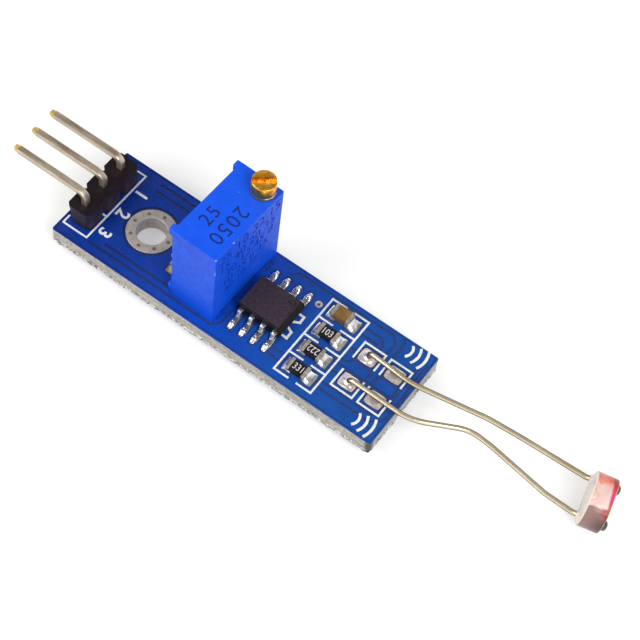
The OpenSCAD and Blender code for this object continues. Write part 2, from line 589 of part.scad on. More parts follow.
module sensor_solder() color("#cfcbc2") from_corner() each_ldr_pad() difference() {
  union() {
    joint_below(0.78, lead_hole_r, 0.3, board_t);
    translate([0, 0, top_z]) linear_extrude(cover_t) pad(ldr_pad_l, ldr_pad_w);
    translate([0, 0, top_z + cover_t]) intersection() {
      rotate_extrude() polygon([[0, 0], [0.72, 0], [0.6, 0.05], [0.4, 0.12], [0, 0.14]]);
      linear_extrude(1) pad(ldr_pad_l, ldr_pad_w);
    }
  }
  translate([0, 0, -4]) cylinder(r = wire_r, h = 8);
}
module spare_solder() color("#cfcbc2") from_corner() each_spare() union() {
  translate([0, 0, -cover_t]) cylinder(r = 0.75, h = cover_t);
  translate([0, 0, -cover_t]) cylinder(r = lead_hole_r, h = board_t + cover_t);
  translate([0, 0, top_z]) linear_extrude(cover_t) pad(ldr_pad_l, ldr_pad_w);
  translate([0, 0, top_z + cover_t]) rotate_extrude() polygon([[0, 0], [0.58, 0], [0.5, 0.06], [0.38, 0.08], [0, 0.09]]);
}

// disc with two flats, its thickness along X
module flat_disc(d, w, from, to) translate([from, 0, 0]) rotate([90, 0, 90]) linear_extrude(to - from)
  intersection() {
    circle(d = d, $fn = 72);
    square([d, w], center = true);
  }
module sensor_ceramic() color("#e6dfd2") from_sensor() difference() {
  flat_disc(ldr_d - 2 * resin_t, ldr_flat_w - 2 * resin_t, -ldr_t / 2 + 0.1, ldr_t / 2 - 0.4);
  lead_holes(wire_r);
}
module lead_holes(r) for (s = [-1, 1]) translate([-ldr_t, s * ldr_lead_pitch / 2, 0])
  rotate([0, 90, 0]) cylinder(r = r, h = 2 * ldr_t);
track_x = [-1.3, -0.65, 0, 0.65, 1.3];
module track_shape() {
  h = ldr_flat_w / 2 - resin_t - 0.35;
  for (y = track_x) translate([y - 0.13, -h]) square([0.26, 2 * h]);
  for (i = [0:3]) translate([track_x[i] - 0.13, i % 2 == 0 ? h - 0.26 : -h]) square([0.91, 0.26]);
}
module sensor_track() color("#a8402a") from_sensor() translate([ldr_t / 2 - 0.4, 0, 0]) rotate([90, 0, 90])
  linear_extrude(0.06) difference() {
    track_shape();
    for (s = [-1, 1]) translate([s * ldr_lead_pitch / 2, 0]) circle(0.36);
  }
module sensor_electrodes() color("#c9c4b8") from_sensor() translate([ldr_t / 2 - 0.4, 0, 0]) rotate([90, 0, 90])
  linear_extrude(0.06) difference() {
    intersection() {
      circle(d = ldr_d - 2 * resin_t - 0.2, $fn = 72);
      square([ldr_d, ldr_flat_w - 2 * resin_t - 0.2], center = true);
    }
    track_margin();
    for (s = [-1, 1]) translate([s * ldr_lead_pitch / 2, 0]) circle(wire_r);
  }
// the track with a narrow margin, which the metal leaves free
module track_margin() {
  h = ldr_flat_w / 2 - resin_t - 0.31;
  for (y = track_x) translate([y - 0.17, -h]) square([0.34, 2 * h]);
  for (i = [0:3]) translate([track_x[i] - 0.17, i % 2 == 0 ? h - 0.34 : -h]) square([0.99, 0.34]);
}
module sensor_resin() color("#d9a9a4") from_sensor() difference() {
  union() {
    flat_disc(ldr_d, ldr_flat_w, -ldr_t / 2, ldr_t / 2);
    for (s = [-1, 1]) translate([-ldr_t / 2 - 0.35, s * ldr_lead_pitch / 2, 0]) rotate([0, 90, 0])
      rotate_extrude() polygon([[0, 0], [wire_r + 0.1, 0], [wire_r + 0.14, 0.15], [wire_r + 0.32, 0.36], [0, 0.36]]);
    for (s = [-1, 1]) translate([ldr_t / 2 - 0.01, s * ldr_lead_pitch / 2, 0]) rotate([0, 90, 0])
      rotate_extrude() polygon([[0, 0], [0.5, 0], [0.44, 0.18], [0.3, 0.3], [0, 0.34]]);
  }
  flat_disc(ldr_d - 2 * resin_t, ldr_flat_w - 2 * resin_t, -ldr_t / 2 + 0.1, ldr_t / 2 - 0.34);
  translate([0.1 - ldr_t / 2, 0, 0]) lead_ends();
}
module lead_ends() for (s = [-1, 1]) translate([-1, s * ldr_lead_pitch / 2, 0])
  rotate([0, 90, 0]) cylinder(r = wire_r, h = ldr_t + 1);

circuit_board();
top_cover();
bottom_cover();
mounting_ring();
via_ring();
printed_lines();
header_insulator();
header_pin_1();
header_pin_2();
header_pin_3();
header_solder();
trimmer_case();
trimmer_base();
trimmer_element();
trimmer_track();
trimmer_screw();
trimmer_carriage();
trimmer_wiper();
trimmer_pins();
trimmer_solder();
chip_body();
chip_leads();
chip_solder();
resistor_1();
resistor_2();
resistor_3();
capacitor();
part_end_caps();
part_solder();
side_part_body();
side_part_ends();
side_part_solder();
sensor_lead_1();
sensor_lead_2();
sensor_solder();
spare_solder();
sensor_ceramic();
sensor_track();
sensor_electrodes();
sensor_resin();
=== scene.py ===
import math

import bmesh
import bpy
from mathutils import Euler, Matrix, Vector, noise


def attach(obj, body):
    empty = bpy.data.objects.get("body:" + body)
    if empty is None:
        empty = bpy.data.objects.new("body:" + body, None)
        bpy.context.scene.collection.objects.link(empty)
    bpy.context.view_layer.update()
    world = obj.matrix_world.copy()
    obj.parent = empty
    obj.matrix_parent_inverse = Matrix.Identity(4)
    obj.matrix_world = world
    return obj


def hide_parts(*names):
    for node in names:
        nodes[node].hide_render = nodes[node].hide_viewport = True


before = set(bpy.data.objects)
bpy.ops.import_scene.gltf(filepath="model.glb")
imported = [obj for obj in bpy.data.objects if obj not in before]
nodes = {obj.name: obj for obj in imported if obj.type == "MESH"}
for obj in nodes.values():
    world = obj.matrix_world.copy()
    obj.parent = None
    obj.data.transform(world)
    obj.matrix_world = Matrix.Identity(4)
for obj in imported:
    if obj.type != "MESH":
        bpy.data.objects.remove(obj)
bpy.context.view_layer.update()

mm = 0.001
noise.seed_set(7)  # the same unevenness in every run


def spot(x=0.0, y=0.0, z=0.0, turn=0.0, axis="Z"):
    # a place in mm, turned by degrees about one axis
    return Matrix.Translation((x, y, z)) @ Matrix.Rotation(math.radians(turn), 4, axis)


def turned(degrees):
    return Euler([math.radians(a) for a in degrees])


def addObject(name, data):
    thing = bpy.data.objects.new(name, data)
    bpy.context.scene.collection.objects.link(thing)
    return thing


# the photograph's view: place in mm, turn in degrees
photoView = {"place": (55.2034, -70.7601, 141.0668), "turn": (30.0477, -4.9431, 35.6529), "lens": 100.0,
             "sensor": 36.0, "near": 0.005, "far": 20.0}


def addCamera():
    data = bpy.data.cameras.new("photoCamera")
    data.lens = photoView["lens"]
    data.sensor_width = photoView["sensor"]
    data.clip_start = photoView["near"]
    data.clip_end = photoView["far"]
    camera = addObject("photoCamera", data)
    camera.location = Vector(photoView["place"]) * mm
    camera.rotation_euler = turned(photoView["turn"])
    bpy.context.scene.camera = camera


addCamera()
print("camera placed")

# where the groups of pieces stand, in mm, as the solids have them
board = {"length": 36.0, "width": 11.0, "thick": 1.6, "cover": 0.06, "holeX": 7.35, "holeRadius": 1.5}
midY = board["width"] / 2
deck = board["thick"] + board["cover"]  # face of the mask
fromCorner = spot(-board["holeX"], -midY)
fromTrimmer = fromCorner @ spot(15.33, midY + 0.6, board["thick"], -1.7)
screwAxis = (9.1003, 4.1333, 12.0)  # from the mounting hole, as the materials see it
sensorReach = 18.85  # of the disc beyond the end of the board
sensorAt = Vector((board["length"] + sensorReach, midY + 2.2, 1.75))
sensorTurn = turned((12.5, 5, 14.5)).to_matrix()
fromSensor = fromCorner @ Matrix.Translation(sensorAt) @ sensorTurn.to_4x4()


# materials: everything is read in object coordinates, in mm
def rgb(code):
    parts = [int(code[i:i + 2], 16) / 255 for i in (1, 3, 5)]
    return tuple(v / 12.92 if v <= 0.04045 else ((v + 0.055) / 1.055) ** 2.4 for v in parts) + (1.0,)


def newFinish(name, colour, rough=0.5, metal=0.0, **sockets):
    mat = bpy.data.materials.new(name)
    mat.use_nodes = True
    shader = mat.node_tree.nodes["Principled BSDF"]
    shader.inputs["Base Color"].default_value = rgb(colour)
    shader.inputs["Roughness"].default_value = rough
    shader.inputs["Metallic"].default_value = metal
    for key, value in sockets.items():
        shader.inputs[key].default_value = value
    return mat, mat.node_tree


def give(tree, socket, value):
    # a link from another node, a colour code, or a plain number
    if isinstance(value, bpy.types.NodeSocket):
        tree.links.new(value, socket)
    else:
        socket.default_value = rgb(value) if isinstance(value, str) else value


def coordsIn(tree, stretch=(1, 1, 1), place=None):
    source = tree.nodes.new("ShaderNodeTexCoord")
    mapping = tree.nodes.new("ShaderNodeMapping")
    mapping.inputs["Scale"].default_value = [1000 * s for s in stretch]
    if place is not None:  # a local frame of the piece
        back = place.inverted()
        mapping.inputs["Rotation"].default_value = back.to_euler()
        mapping.inputs["Location"].default_value = back.to_translation()
    tree.links.new(source.outputs["Object"], mapping.inputs["Vector"])
    return mapping.outputs["Vector"]


def noiseOf(tree, coords, scale, detail=3.0, rough=0.55, twist=0.0):
    node = tree.nodes.new("ShaderNodeTexNoise")
    for key, value in (("Scale", scale), ("Detail", detail), ("Roughness", rough), ("Distortion", twist)):
        node.inputs[key].default_value = value
    tree.links.new(coords, node.inputs["Vector"])
    return node.outputs["Fac"]


def rampOf(tree, fac, stops):
    node = tree.nodes.new("ShaderNodeValToRGB")
    marks = node.color_ramp.elements
    while len(marks) < len(stops):
        marks.new(0.5)
    for mark, (at, colour) in zip(marks, stops):
        mark.position = at
        mark.color = rgb(colour) if isinstance(colour, str) else (colour, colour, colour, 1.0)
    tree.links.new(fac, node.inputs["Fac"])
    return node.outputs["Color"]


def mixOf(tree, fac, first, second, blend="MIX"):
    node = tree.nodes.new("ShaderNodeMix")
    node.data_type = "RGBA"
    node.blend_type = blend
    for key, value in (("Factor", fac), (6, first), (7, second)):
        give(tree, node.inputs[key], value)
    return node.outputs[2]


def mathOf(tree, kind, *values):
    node = tree.nodes.new("ShaderNodeMath")
    node.operation = kind
    for socket, value in zip(node.inputs, values):
        give(tree, socket, value)
    return node.outputs["Value"]


def plus(tree, first, second):
    return mathOf(tree, "ADD", first, second)


def times(tree, first, *others):
    for other in others:
        first = mathOf(tree, "MULTIPLY", first, other)
    return first


def stepOf(tree, value, low, high, toLow=0.0, toHigh=1.0):
    node = tree.nodes.new("ShaderNodeMapRange")
    node.interpolation_type = "SMOOTHSTEP"
    for key, number in (("From Min", low), ("From Max", high), ("To Min", toLow), ("To Max", toHigh)):
        node.inputs[key].default_value = number
    tree.links.new(value, node.inputs["Value"])
    return node.outputs["Result"]


def fallOf(tree, value, high, low):  # 1 below low, 0 above high
    return mathOf(tree, "SUBTRACT", 1.0, stepOf(tree, value, low, high))


def axesOf(tree, coords):
    node = tree.nodes.new("ShaderNodeSeparateXYZ")
    tree.links.new(coords, node.inputs["Vector"])
    return node.outputs


def facingUp(tree):  # 1 on top, 0 on a side, -1 underneath
    return axesOf(tree, tree.nodes.new("ShaderNodeNewGeometry").outputs["True Normal"])["Z"]


def surface(mat, tone, gloss, height, depth, strength=1.0):
    # colour, roughness and relief go into the shader
    tree = mat.node_tree
    shader = tree.nodes["Principled BSDF"]
    tree.links.new(tone, shader.inputs["Base Color"])
    if gloss:
        tree.links.new(gloss, shader.inputs["Roughness"])
    bump = tree.nodes.new("ShaderNodeBump")
    bump.inputs["Strength"].default_value = strength
    bump.inputs["Distance"].default_value = depth * mm
    tree.links.new(height, bump.inputs["Height"])
    tree.links.new(bump.outputs["Normal"], shader.inputs["Normal"])
    return mat


def mottled(name, dark, light, patch=1.2, rough=(0.3, 0.5), grain=6.0, depth=0.01, metal=0.0, spread=(0.3, 0.7),
            stretch=(1, 1, 1), edge=None, rim=(0.45, 0.8), sides=None, **sockets):
    # two tones in soft patches, uneven gloss and a fine grain; edge is a tone painted at grazing angles (painted rim
    # shade, a painted highlight when lighter), sides a tone painted on faces that don't look up (painted light and
    # shade of the side faces)
    mat, tree = newFinish(name, light, rough[0], metal, **sockets)
    coords = coordsIn(tree, stretch)
    tone = rampOf(tree, noiseOf(tree, coords, patch, 4.0), [(spread[0], dark), (spread[1], light)])
    # painted light and shade: faces that don't look up take the sides tone
    if sides:
        tone = mixOf(tree, stepOf(tree, facingUp(tree), 0.75, 0.95), sides, tone)
    # painted rim shade and highlight: the edge tone at grazing angles
    if edge:
        weight = tree.nodes.new("ShaderNodeLayerWeight")
        weight.inputs["Blend"].default_value = 0.5
        tone = mixOf(tree, stepOf(tree, weight.outputs["Facing"], *rim), tone, edge)
    gloss = stepOf(tree, noiseOf(tree, coords, patch * 2.7, 5.0), 0.3, 0.7, *rough)
    return surface(mat, tone, gloss, noiseOf(tree, coords, grain, 5.0, 0.6), depth)


def maskFinish():
    # glossy blue mask over copper: deeper towards the header, faintly uneven
    mat, tree = newFinish("blueMask", "#0a3a9c", 0.3, **{"Specular IOR Level": 0.35})
    coords = coordsIn(tree)
    along = stepOf(tree, axesOf(tree, coords)["X"], -8, 27)
    tone = rampOf(tree, along, [(0.0, "#003392"), (0.5, "#0a48b8"), (1.0, "#1350a4")])
    for scale, detail, stops in ((0.3, 3.0, [(0.3, 0.8), (0.7, 1.0)]), (4.0, 2.0, [(0.3, 0.8), (0.4, 1.0)])):
        tone = mixOf(tree, 1.0, tone, rampOf(tree, noiseOf(tree, coords, scale, detail), stops), "MULTIPLY")
    weave = [noiseOf(tree, coordsIn(tree, way), 1.0, 2.0) for way in ((0.5, 6, 1), (6, 0.5, 1))]
    gloss = stepOf(tree, noiseOf(tree, coords, 1.4, 4.0), 0.3, 0.7, 0.24, 0.4)
    return surface(mat, tone, gloss, plus(tree, *weave), 0.005)


def laminateFinish():
    # flat faces: bare laminate under mask, seen in the gaps; edges: the glass cloth, sawn and snapped
    mat, tree = newFinish("glassLaminate", "#a39b8c", 0.8)
    x, y, z = axesOf(tree, coordsIn(tree))[:3]
    flat = stepOf(tree, mathOf(tree, "ABSOLUTE", facingUp(tree)), 0.6, 0.8)
    gap = rampOf(tree, stepOf(tree, x, -6, 14), [(0.0, "#03185c"), (1.0, "#1c3878")])
    layers = noiseOf(tree, coordsIn(tree, (0.5, 0.5, 9)), 1.0, 4.0, 0.6)
    cloth = noiseOf(tree, coordsIn(tree, (3, 3, 6)), 1.0, 5.0, 0.7)
    edge = mixOf(tree, 0.5, rampOf(tree, layers, [(0.3, "#8a847c"), (0.5, "#b8b3ab"), (0.7, "#dad6cf")]),
                 rampOf(tree, cloth, [(0.34, "#6f6961"), (0.6, "#e4e0d8")]))
    low = fallOf(tree, plus(tree, z, times(tree, cloth, 0.5)), 0.75, 0.3)
    edge = mixOf(tree, times(tree, low, 0.6), edge, "#675f55")  # torn strip at the lower edge
    away = plus(tree, *[mathOf(tree, "ABSOLUTE", mathOf(tree, "SUBTRACT", a, b)) for a, b in ((x, 28.65), (y, -5.5))])
    corner = fallOf(tree, plus(tree, away, times(tree, cloth, 0.5)), 0.95, 0.55)
    edge = mixOf(tree, times(tree, corner, 0.85), edge, "#35261f")  # scorched where the panel broke off
    return surface(mat, mixOf(tree, flat, edge, gap), stepOf(tree, flat, 0.0, 1.0, 0.85, 0.35), cloth, 0.12, 0.9)


def brassFinish():
    mat, tree = newFinish("turnedBrass", "#d9a23f", 0.3, 1.0)
    coords = coordsIn(tree)
    rings = tree.nodes.new("ShaderNodeTexWave")  # turning marks round the screw's axis
    rings.wave_type = "RINGS"
    rings.rings_direction = "Z"
    rings.inputs["Scale"].default_value = 2.2
    rings.inputs["Distortion"].default_value = 1.2
    tree.links.new(coordsIn(tree, place=Matrix.Translation(screwAxis)), rings.inputs["Vector"])
    stain = noiseOf(tree, coords, 1.6, 5.0, 0.6)
    tone = rampOf(tree, stain, [(0.28, "#b0751c"), (0.5, "#efab34"), (0.72, "#ffdb80")])
    height = plus(tree, rings.outputs["Fac"], times(tree, noiseOf(tree, coords, 8.0, 4.0), 0.7))
    return surface(mat, tone, stepOf(tree, stain, 0.3, 0.7, 0.42, 0.24), height, 0.012)


def sensorFinish():
    # tinted resin over the disc: pale band at the back, pink over the flat, salmon round the ends, and mauve and deep
    # brown on the lower end as resin colour with painted shade
    mat, tree = newFinish("tintedResin", "#e7cfc8", 0.36,
                          **{"Coat Weight": 0.2, "Coat Roughness": 0.1, "Specular IOR Level": 0.3})
    coords = coordsIn(tree, place=fromSensor)
    x, y = axesOf(tree, coords)[:2]

    def rise(value, low, high):
        return stepOf(tree, value, low, high)

    def fall(value, high, low):
        return fallOf(tree, value, high, low)

    cloud = noiseOf(tree, coords, 1.3, 4.0, 0.6)
    drift = mathOf(tree, "MULTIPLY_ADD", cloud, 0.5, -0.25)
    acrossY = plus(tree, y, drift)
    slant = mathOf(tree, "MULTIPLY_ADD", y, 0.1, x)
    rear = plus(tree, x, times(tree, drift, 0.2))
    cracks = noiseOf(tree, coords, 0.75, 1.0, 0.4, 0.4)
    cracks = mathOf(tree, "ABSOLUTE", mathOf(tree, "SUBTRACT", cracks, 0.52))
    band = rampOf(tree, rise(y, -1.9, 2.0), [(0.0, "#4a1a1f"), (0.22, "#b80a12"), (0.42, "#c91c78"),
                                             (0.75, "#d6307c"), (0.9, "#c8323a"), (1.0, "#8a3030")])
    tone = rampOf(tree, cloud, [(0.3, "#dcb6ac"), (0.68, "#ecd0c6")])
    for share, over in (
            (times(tree, rise(acrossY, 0.9, 1.5), 0.75), "#f07c64"),
            (times(tree, rise(y, 1.35, 1.75), rise(x, -0.5, 0.5)), "#ee5546"),
            # resin colour with painted shade: mauve over the lower end, deep brown at its tip
            (fall(acrossY, -0.95, -1.15), "#94736e"),
            (times(tree, fall(y, -1.3, -2.3), rise(x, -0.7, 0.9), 0.8), "#42292a"),
            (times(tree, rise(x, 0.05, 0.5), times(tree, fall(acrossY, -0.8, -1.0), rise(acrossY, -1.7, -1.3))),
             "#a80c14"),
            (times(tree, rise(slant, 0.56, 0.78), 0.95), band),
            (times(tree, fall(cracks, 0.02, 0.006), rise(y, -0.9, -0.3), 0.6), "#e8664f"),
            (fall(rear, -0.86, -0.98), rampOf(tree, cloud, [(0.3, "#ecdccf"), (0.7, "#fff6ec")])),
            (times(tree, rise(x, 0.93, 0.98), 0.8), "#e3b23a")):  # the last is a painted yellow highlight along the front rim
        tone = mixOf(tree, share, tone, over)
    return surface(mat, tone, None, noiseOf(tree, coords, 2.2, 4.0), 0.03, 0.6)


def clearFinish():
    mat, tree = newFinish("clearResin", "#f6e3c4", 0.05, **{"Transmission Weight": 1.0, "IOR": 1.48})
    coords = coordsIn(tree, place=fromSensor)
    tone = rampOf(tree, noiseOf(tree, coords, 0.9, 3.0), [(0.3, "#f3dcb4"), (0.7, "#fdf3e2")])
    gloss = stepOf(tree, noiseOf(tree, coords, 3.0, 4.0), 0.3, 0.75, 0.02, 0.12)
    return surface(mat, tone, gloss, noiseOf(tree, coords, 1.6, 3.0), 0.03, 0.5)


finish = {
    "mask": maskFinish(),
    "laminate": laminateFinish(),
    "torn": mottled("tornGlass", "#77716a", "#e3dfd8", 4.0, (0.7, 0.9), 9.0, 0.03, spread=(0.38, 0.6)),
    "ink": mottled("whiteInk", "#d9dad6", "#edeeeb", 3.0, (0.45, 0.65), 14.0, spread=(0.3, 0.6)),
    "tin": mottled("hotAirTin", "#aca49c", "#cbc2b8", 2.2, (0.42, 0.6), 7.0, 0.016, metal=0.4),
    # stained tin in the ring's pits, and painted shade on the side part's solder
    "tinStainAndShade": mottled("stainedAndShadedTin", "#74624a", "#a08e6c", 3.0, (0.4, 0.6), 9.0, metal=0.5),
    # platedPin: its edge tone is painted shade, darker at grazing angles
    "pinMetal": mottled("platedPin", "#a8967f", "#e6d6bf", 0.8, (0.26, 0.42), 4.0, 0.003, metal=0.75,
                        stretch=(0.35, 2.5, 2.5), edge="#8a775f"),
    "pinCut": mottled("barePinEnd", "#b8913c", "#ecd07a", 3.0, (0.3, 0.5), 8.0, 0.006, metal=0.45),
    # tinnedWire: its dark edge tone is painted shade along both sides of the wires
    "leadMetal": mottled("tinnedWire", "#dac7a0", "#fbeed2", 0.14, (0.22, 0.3), 1.0, 0.001, metal=0.8,
                         edge="#43301c", rim=(0.12, 0.5)),
    "icLead": mottled("chipLead", "#a9a6a0", "#dedbd4", 3.0, (0.2, 0.36), 8.0, 0.008, metal=1.0),
    "solder": mottled("brightSolder", "#c6c4c3", "#fbfbfb", 1.8, (0.08, 0.22), 2.0, 0.006, metal=0.85,
                      spread=(0.35, 0.6)),
    "solderWarm": mottled("warmSolder", "#cdbcae", "#fff3ea", 1.2, (0.14, 0.3), 2.0, 0.006, metal=0.6,
                          spread=(0.3, 0.6)),
    "solderDull": mottled("greySolder", "#a39f9b", "#cac6c2", 1.5, (0.3, 0.5), 4.0, metal=0.5),
    "brass": brassFinish(),
    # blackNylon: its sides tone is painted light, the side faces lighter than the top
    "header": mottled("blackNylon", "#10070d", "#1c1019", 1.5, (0.34, 0.5), 9.0, 0.014, sides="#261c29",
                      **{"Specular IOR Level": 0.25}),
    "trimmer": mottled("bluePolyester", "#0450e2", "#0659ee", 0.6, (0.42, 0.58), spread=(0.3, 0.75),
                       **{"Specular IOR Level": 0.3}),
    "stamp": mottled("stampedGroove", "#04206e", "#0a2f8e", 3.0, (0.5, 0.7), 8.0),
    "engraved": mottled("engravedNumbers", "#0636a8", "#0a44c8", 3.0, (0.45, 0.65), 8.0),
    "chipped": mottled("chippedEdge", "#5f86cf", "#a7bce2", 4.0, (0.5, 0.7), 12.0),
    "potting": mottled("pottingResin", "#2a5bb8", "#3f74d2", 1.0, (0.25, 0.5), 3.0, 0.03),
    # epoxyMould: its sides tone is painted shade, the sides darker than the top
    "chip": mottled("epoxyMould", "#2c2229", "#43363f", 4.0, (0.5, 0.68), 14.0, 0.03, sides="#170f14",
                    **{"Specular IOR Level": 0.25}),
    "resistor": mottled("glazedBlack", "#0f0c0b", "#231c1a", 2.0, (0.2, 0.4)),
    "glaze": mottled("codeInk", "#c9c8c4", "#e6e5e2", 6.0, (0.5, 0.7), 14.0, 0.004),
    "ceramic": mottled("alumina", "#cfcabd", "#ebe6da", 2.0, (0.5, 0.7), 8.0),
    "capacitor": mottled("capCeramic", "#6d4d20", "#8f6a34", 1.6, (0.35, 0.55), 7.0, 0.012),
    "capEnd": mottled("firedEnd", "#948a80", "#cfc6b9", 2.2, (0.34, 0.55), 7.0, 0.02, metal=0.6),
    "palePlastic": mottled("paleNylon", "#c9c2ab", "#e2dcc9", 1.0, (0.4, 0.6), 8.0),
    "spring": mottled("springAlloy", "#9b7433", "#cfa55a", 1.5, (0.2, 0.4), 6.0, 0.006, metal=1.0),
    "carbon": mottled("carbonTrack", "#121212", "#2b2a29", 3.0, (0.5, 0.75), 12.0),
    "electrode": mottled("electrodeMetal", "#b9ae9a", "#ddd4c4", 2.0, (0.3, 0.5), 6.0, 0.006, metal=0.6),
    "sensorTrack": mottled("sensorTrack", "#a5331f", "#d8582e", 2.5, (0.4, 0.6), 9.0),
    "sensorPaint": sensorFinish(),
    "clear": clearFinish(),
    # leadTip: its amber edge tone is a painted highlight at grazing angles
    "leadTip": mottled("leadTip", "#23283a", "#5a6484", 2.0, (0.05, 0.16), 5.0, metal=0.4, edge="#e0b93c",
                       rim=(0.5, 0.85), **{"Coat Weight": 0.6}),
}
print("materials made:", len(finish))


# mesh helpers: parts are made in mm and go into a piece through a place
def inSlot(part, slot):
    for face in part.faces:
        face.material_index = slot
    return part


def ofKind(geom, kind):
    return [g for g in geom if isinstance(g, kind)]


def box(low, high, bevel=0.0, segments=2):
    part = bmesh.new()
    bmesh.ops.create_cube(part, size=1.0)
    bmesh.ops.scale(part, vec=[h - l for l, h in zip(low, high)], verts=part.verts)
    bmesh.ops.translate(part, vec=[(h + l) / 2 for l, h in zip(low, high)], verts=part.verts)
    if bevel:
        roundEdges(part, part.edges[:], bevel, segments)
    return part


def roundEdges(part, edges, offset, segments=2):
    bmesh.ops.bevel(part, geom=edges, offset=offset, offset_type="OFFSET", segments=segments, profile=0.5,
                    affect="EDGES", clamp_overlap=True, material=-1)


def sharpEdges(part, least=25.0):
    return [e for e in part.edges if len(e.link_faces) == 2 and e.calc_face_angle(0) > math.radians(least)]


def openEdges(part):
    return [e for e in part.edges if e.is_boundary]


def lathe(points, steps=32, slot=0, turn=360.0):
    # points are (radius, height); the profile starts and ends on the axis, or closes on itself
    part = bmesh.new()
    verts = [part.verts.new((r, 0, z)) for r, z in points]
    edges = [part.edges.new(pair) for pair in zip(verts, verts[1:])]
    bmesh.ops.spin(part, geom=verts + edges, cent=(0, 0, 0), axis=(0, 0, 1), angle=math.radians(turn), steps=steps,
                   use_merge=turn == 360.0)
    bmesh.ops.remove_doubles(part, verts=part.verts, dist=0.0005)
    bmesh.ops.recalc_face_normals(part, faces=part.faces)
    return inSlot(part, slot)


def wobble(part, amount, scale=1.0, seed=0.0, hold=None):
    # soft unevenness; hold(co) gives 0 where a vertex stays
    for vert in part.verts:
        shift = noise.noise_vector(vert.co * scale + Vector((seed, seed * 0.7, seed * 1.3)))
        vert.co += shift * amount * (hold(vert.co) if hold else 1.0)


def addInto(bm, part, place=Matrix()):
    part.transform(place)
    carrier = bpy.data.meshes.new("carrier")
    part.to_mesh(carrier)
    part.free()
    bm.from_mesh(carrier)
    bpy.data.meshes.remove(carrier)


def meshOf(part, name, looks):
    mesh = bpy.data.meshes.new(name)
    part.to_mesh(mesh)
    part.free()
    for look in looks:
        mesh.materials.append(finish[look])
    return mesh


def finished(thing):
    # the thing's shape after its modifiers; the thing itself goes
    graph = bpy.context.evaluated_depsgraph_get()
    mesh = bpy.data.meshes.new_from_object(thing.evaluated_get(graph))
    part = bmesh.new()
    part.from_mesh(mesh)
    bpy.data.meshes.remove(mesh)
    bpy.data.objects.remove(thing)
    return part


def carve(part, cutter, looks):
    # the cutter's faces keep their own material index
    body, tool = [addObject(name, meshOf(source, name, looks)) for name, source in (("body", part), ("cutter", cutter))]
    cut = body.modifiers.new("cut", "BOOLEAN")
    cut.operation = "DIFFERENCE"
    cut.solver = "EXACT"
    cut.object = tool
    meshes = [body.data, tool.data]
    result = finished(body)
    bpy.data.objects.remove(tool)
    for mesh in meshes:
        bpy.data.meshes.remove(mesh)
    return result


def digits(text, height, depth, slot=0, bold=0.0):
    # numerals as solids, centred, reading along +X with their tops towards +Y
    curve = bpy.data.curves.new("digits", "FONT")
    curve.body = text
    curve.extrude = 0.5
    curve.offset = bold
    curve.resolution_u = 3
    part = finished(addObject("digits", curve))
    bpy.data.curves.remove(curve)
    low, high = [[pick(v.co[k] for v in part.verts) for k in range(3)] for pick in (min, max)]
    size = height / (high[1] - low[1])
    bmesh.ops.remove_doubles(part, verts=part.verts, dist=0.0001)
    bmesh.ops.translate(part, vec=[-(l + h) / 2 for l, h in zip(low, high)], verts=part.verts)
    bmesh.ops.scale(part, vec=(size, size, depth), verts=part.verts)
    return inSlot(part, slot)


def grow(part, face, way, scaleX=1.0, scaleY=1.0):
    # extrudes an end face and resizes it; gives the new end face
    grown = bmesh.ops.extrude_face_region(part, geom=[face])["geom"]
    verts = ofKind(grown, bmesh.types.BMVert)
    bmesh.ops.translate(part, vec=way, verts=verts)
    middle = sum((v.co for v in verts), Vector()) / len(verts)
    for vert in verts:
        vert.co.x = middle.x + (vert.co.x - middle.x) * scaleX
        vert.co.y = middle.y + (vert.co.y - middle.y) * scaleY
    return ofKind(grown, bmesh.types.BMFace)[0]


def rounded(points, bends, steps=6):
    # the bent line through the points, with a round bend at each inner one
    points = [Vector(p) for p in points]
    path = points[:1]
    for before, at, after, bend in zip(points, points[1:], points[2:], bends):
        first, second = (at - before).normalized(), (after - at).normalized()
        turn = first.angle(second, 0.0)
        if turn < 0.001:
            continue
        out = (first * first.dot(second) - second).normalized()
        middle = at - first * bend * math.tan(turn / 2) - out * bend
        for i in range(steps + 1):
            angle = turn * i / steps
            path.append(middle + (out * math.cos(angle) + first * math.sin(angle)) * bend)
    return path + points[-1:]


def sweep(section, path, side=(0, 1, 0), sizes=None):
    # the section, a face in XY, is carried along the path; sizes scale it at each point
    sizes = sizes or [1.0] * len(path)
    side = Vector(side)
    places = []
    for i, at in enumerate(path):
        ahead = (path[min(i + 1, len(path) - 1)] - path[max(i - 1, 0)]).normalized()
        side = (side - ahead * side.dot(ahead)).normalized()
        turn = Matrix((side, ahead.cross(side), ahead)).transposed().to_4x4()
        places.append(Matrix.Translation(at) @ turn @ Matrix.Scale(sizes[i], 4))
    section.transform(places[0])
    face = next(iter(section.faces))
    for last, place in zip(places, places[1:]):
        grown = bmesh.ops.extrude_face_region(section, geom=[face])["geom"]
        step = place @ last.inverted()
        for vert in ofKind(grown, bmesh.types.BMVert):
            vert.co = step @ vert.co
        face = ofKind(grown, bmesh.types.BMFace)[0]
    bmesh.ops.recalc_face_normals(section, faces=section.faces)
    return section


def roundSection(radius, sides=20):
    part = bmesh.new()
    bmesh.ops.create_circle(part, cap_ends=True, segments=sides, radius=radius)
    return part


def flatSection(width, height, edge=0.0):
    part = bmesh.new()
    bmesh.ops.create_grid(part, x_segments=1, y_segments=1, size=0.5)
    bmesh.ops.scale(part, vec=(width, height, 1), verts=part.verts)
    if edge:
        bmesh.ops.bevel(part, geom=part.verts[:], offset=edge, segments=2, profile=0.5, affect="VERTICES", material=-1)
    return part


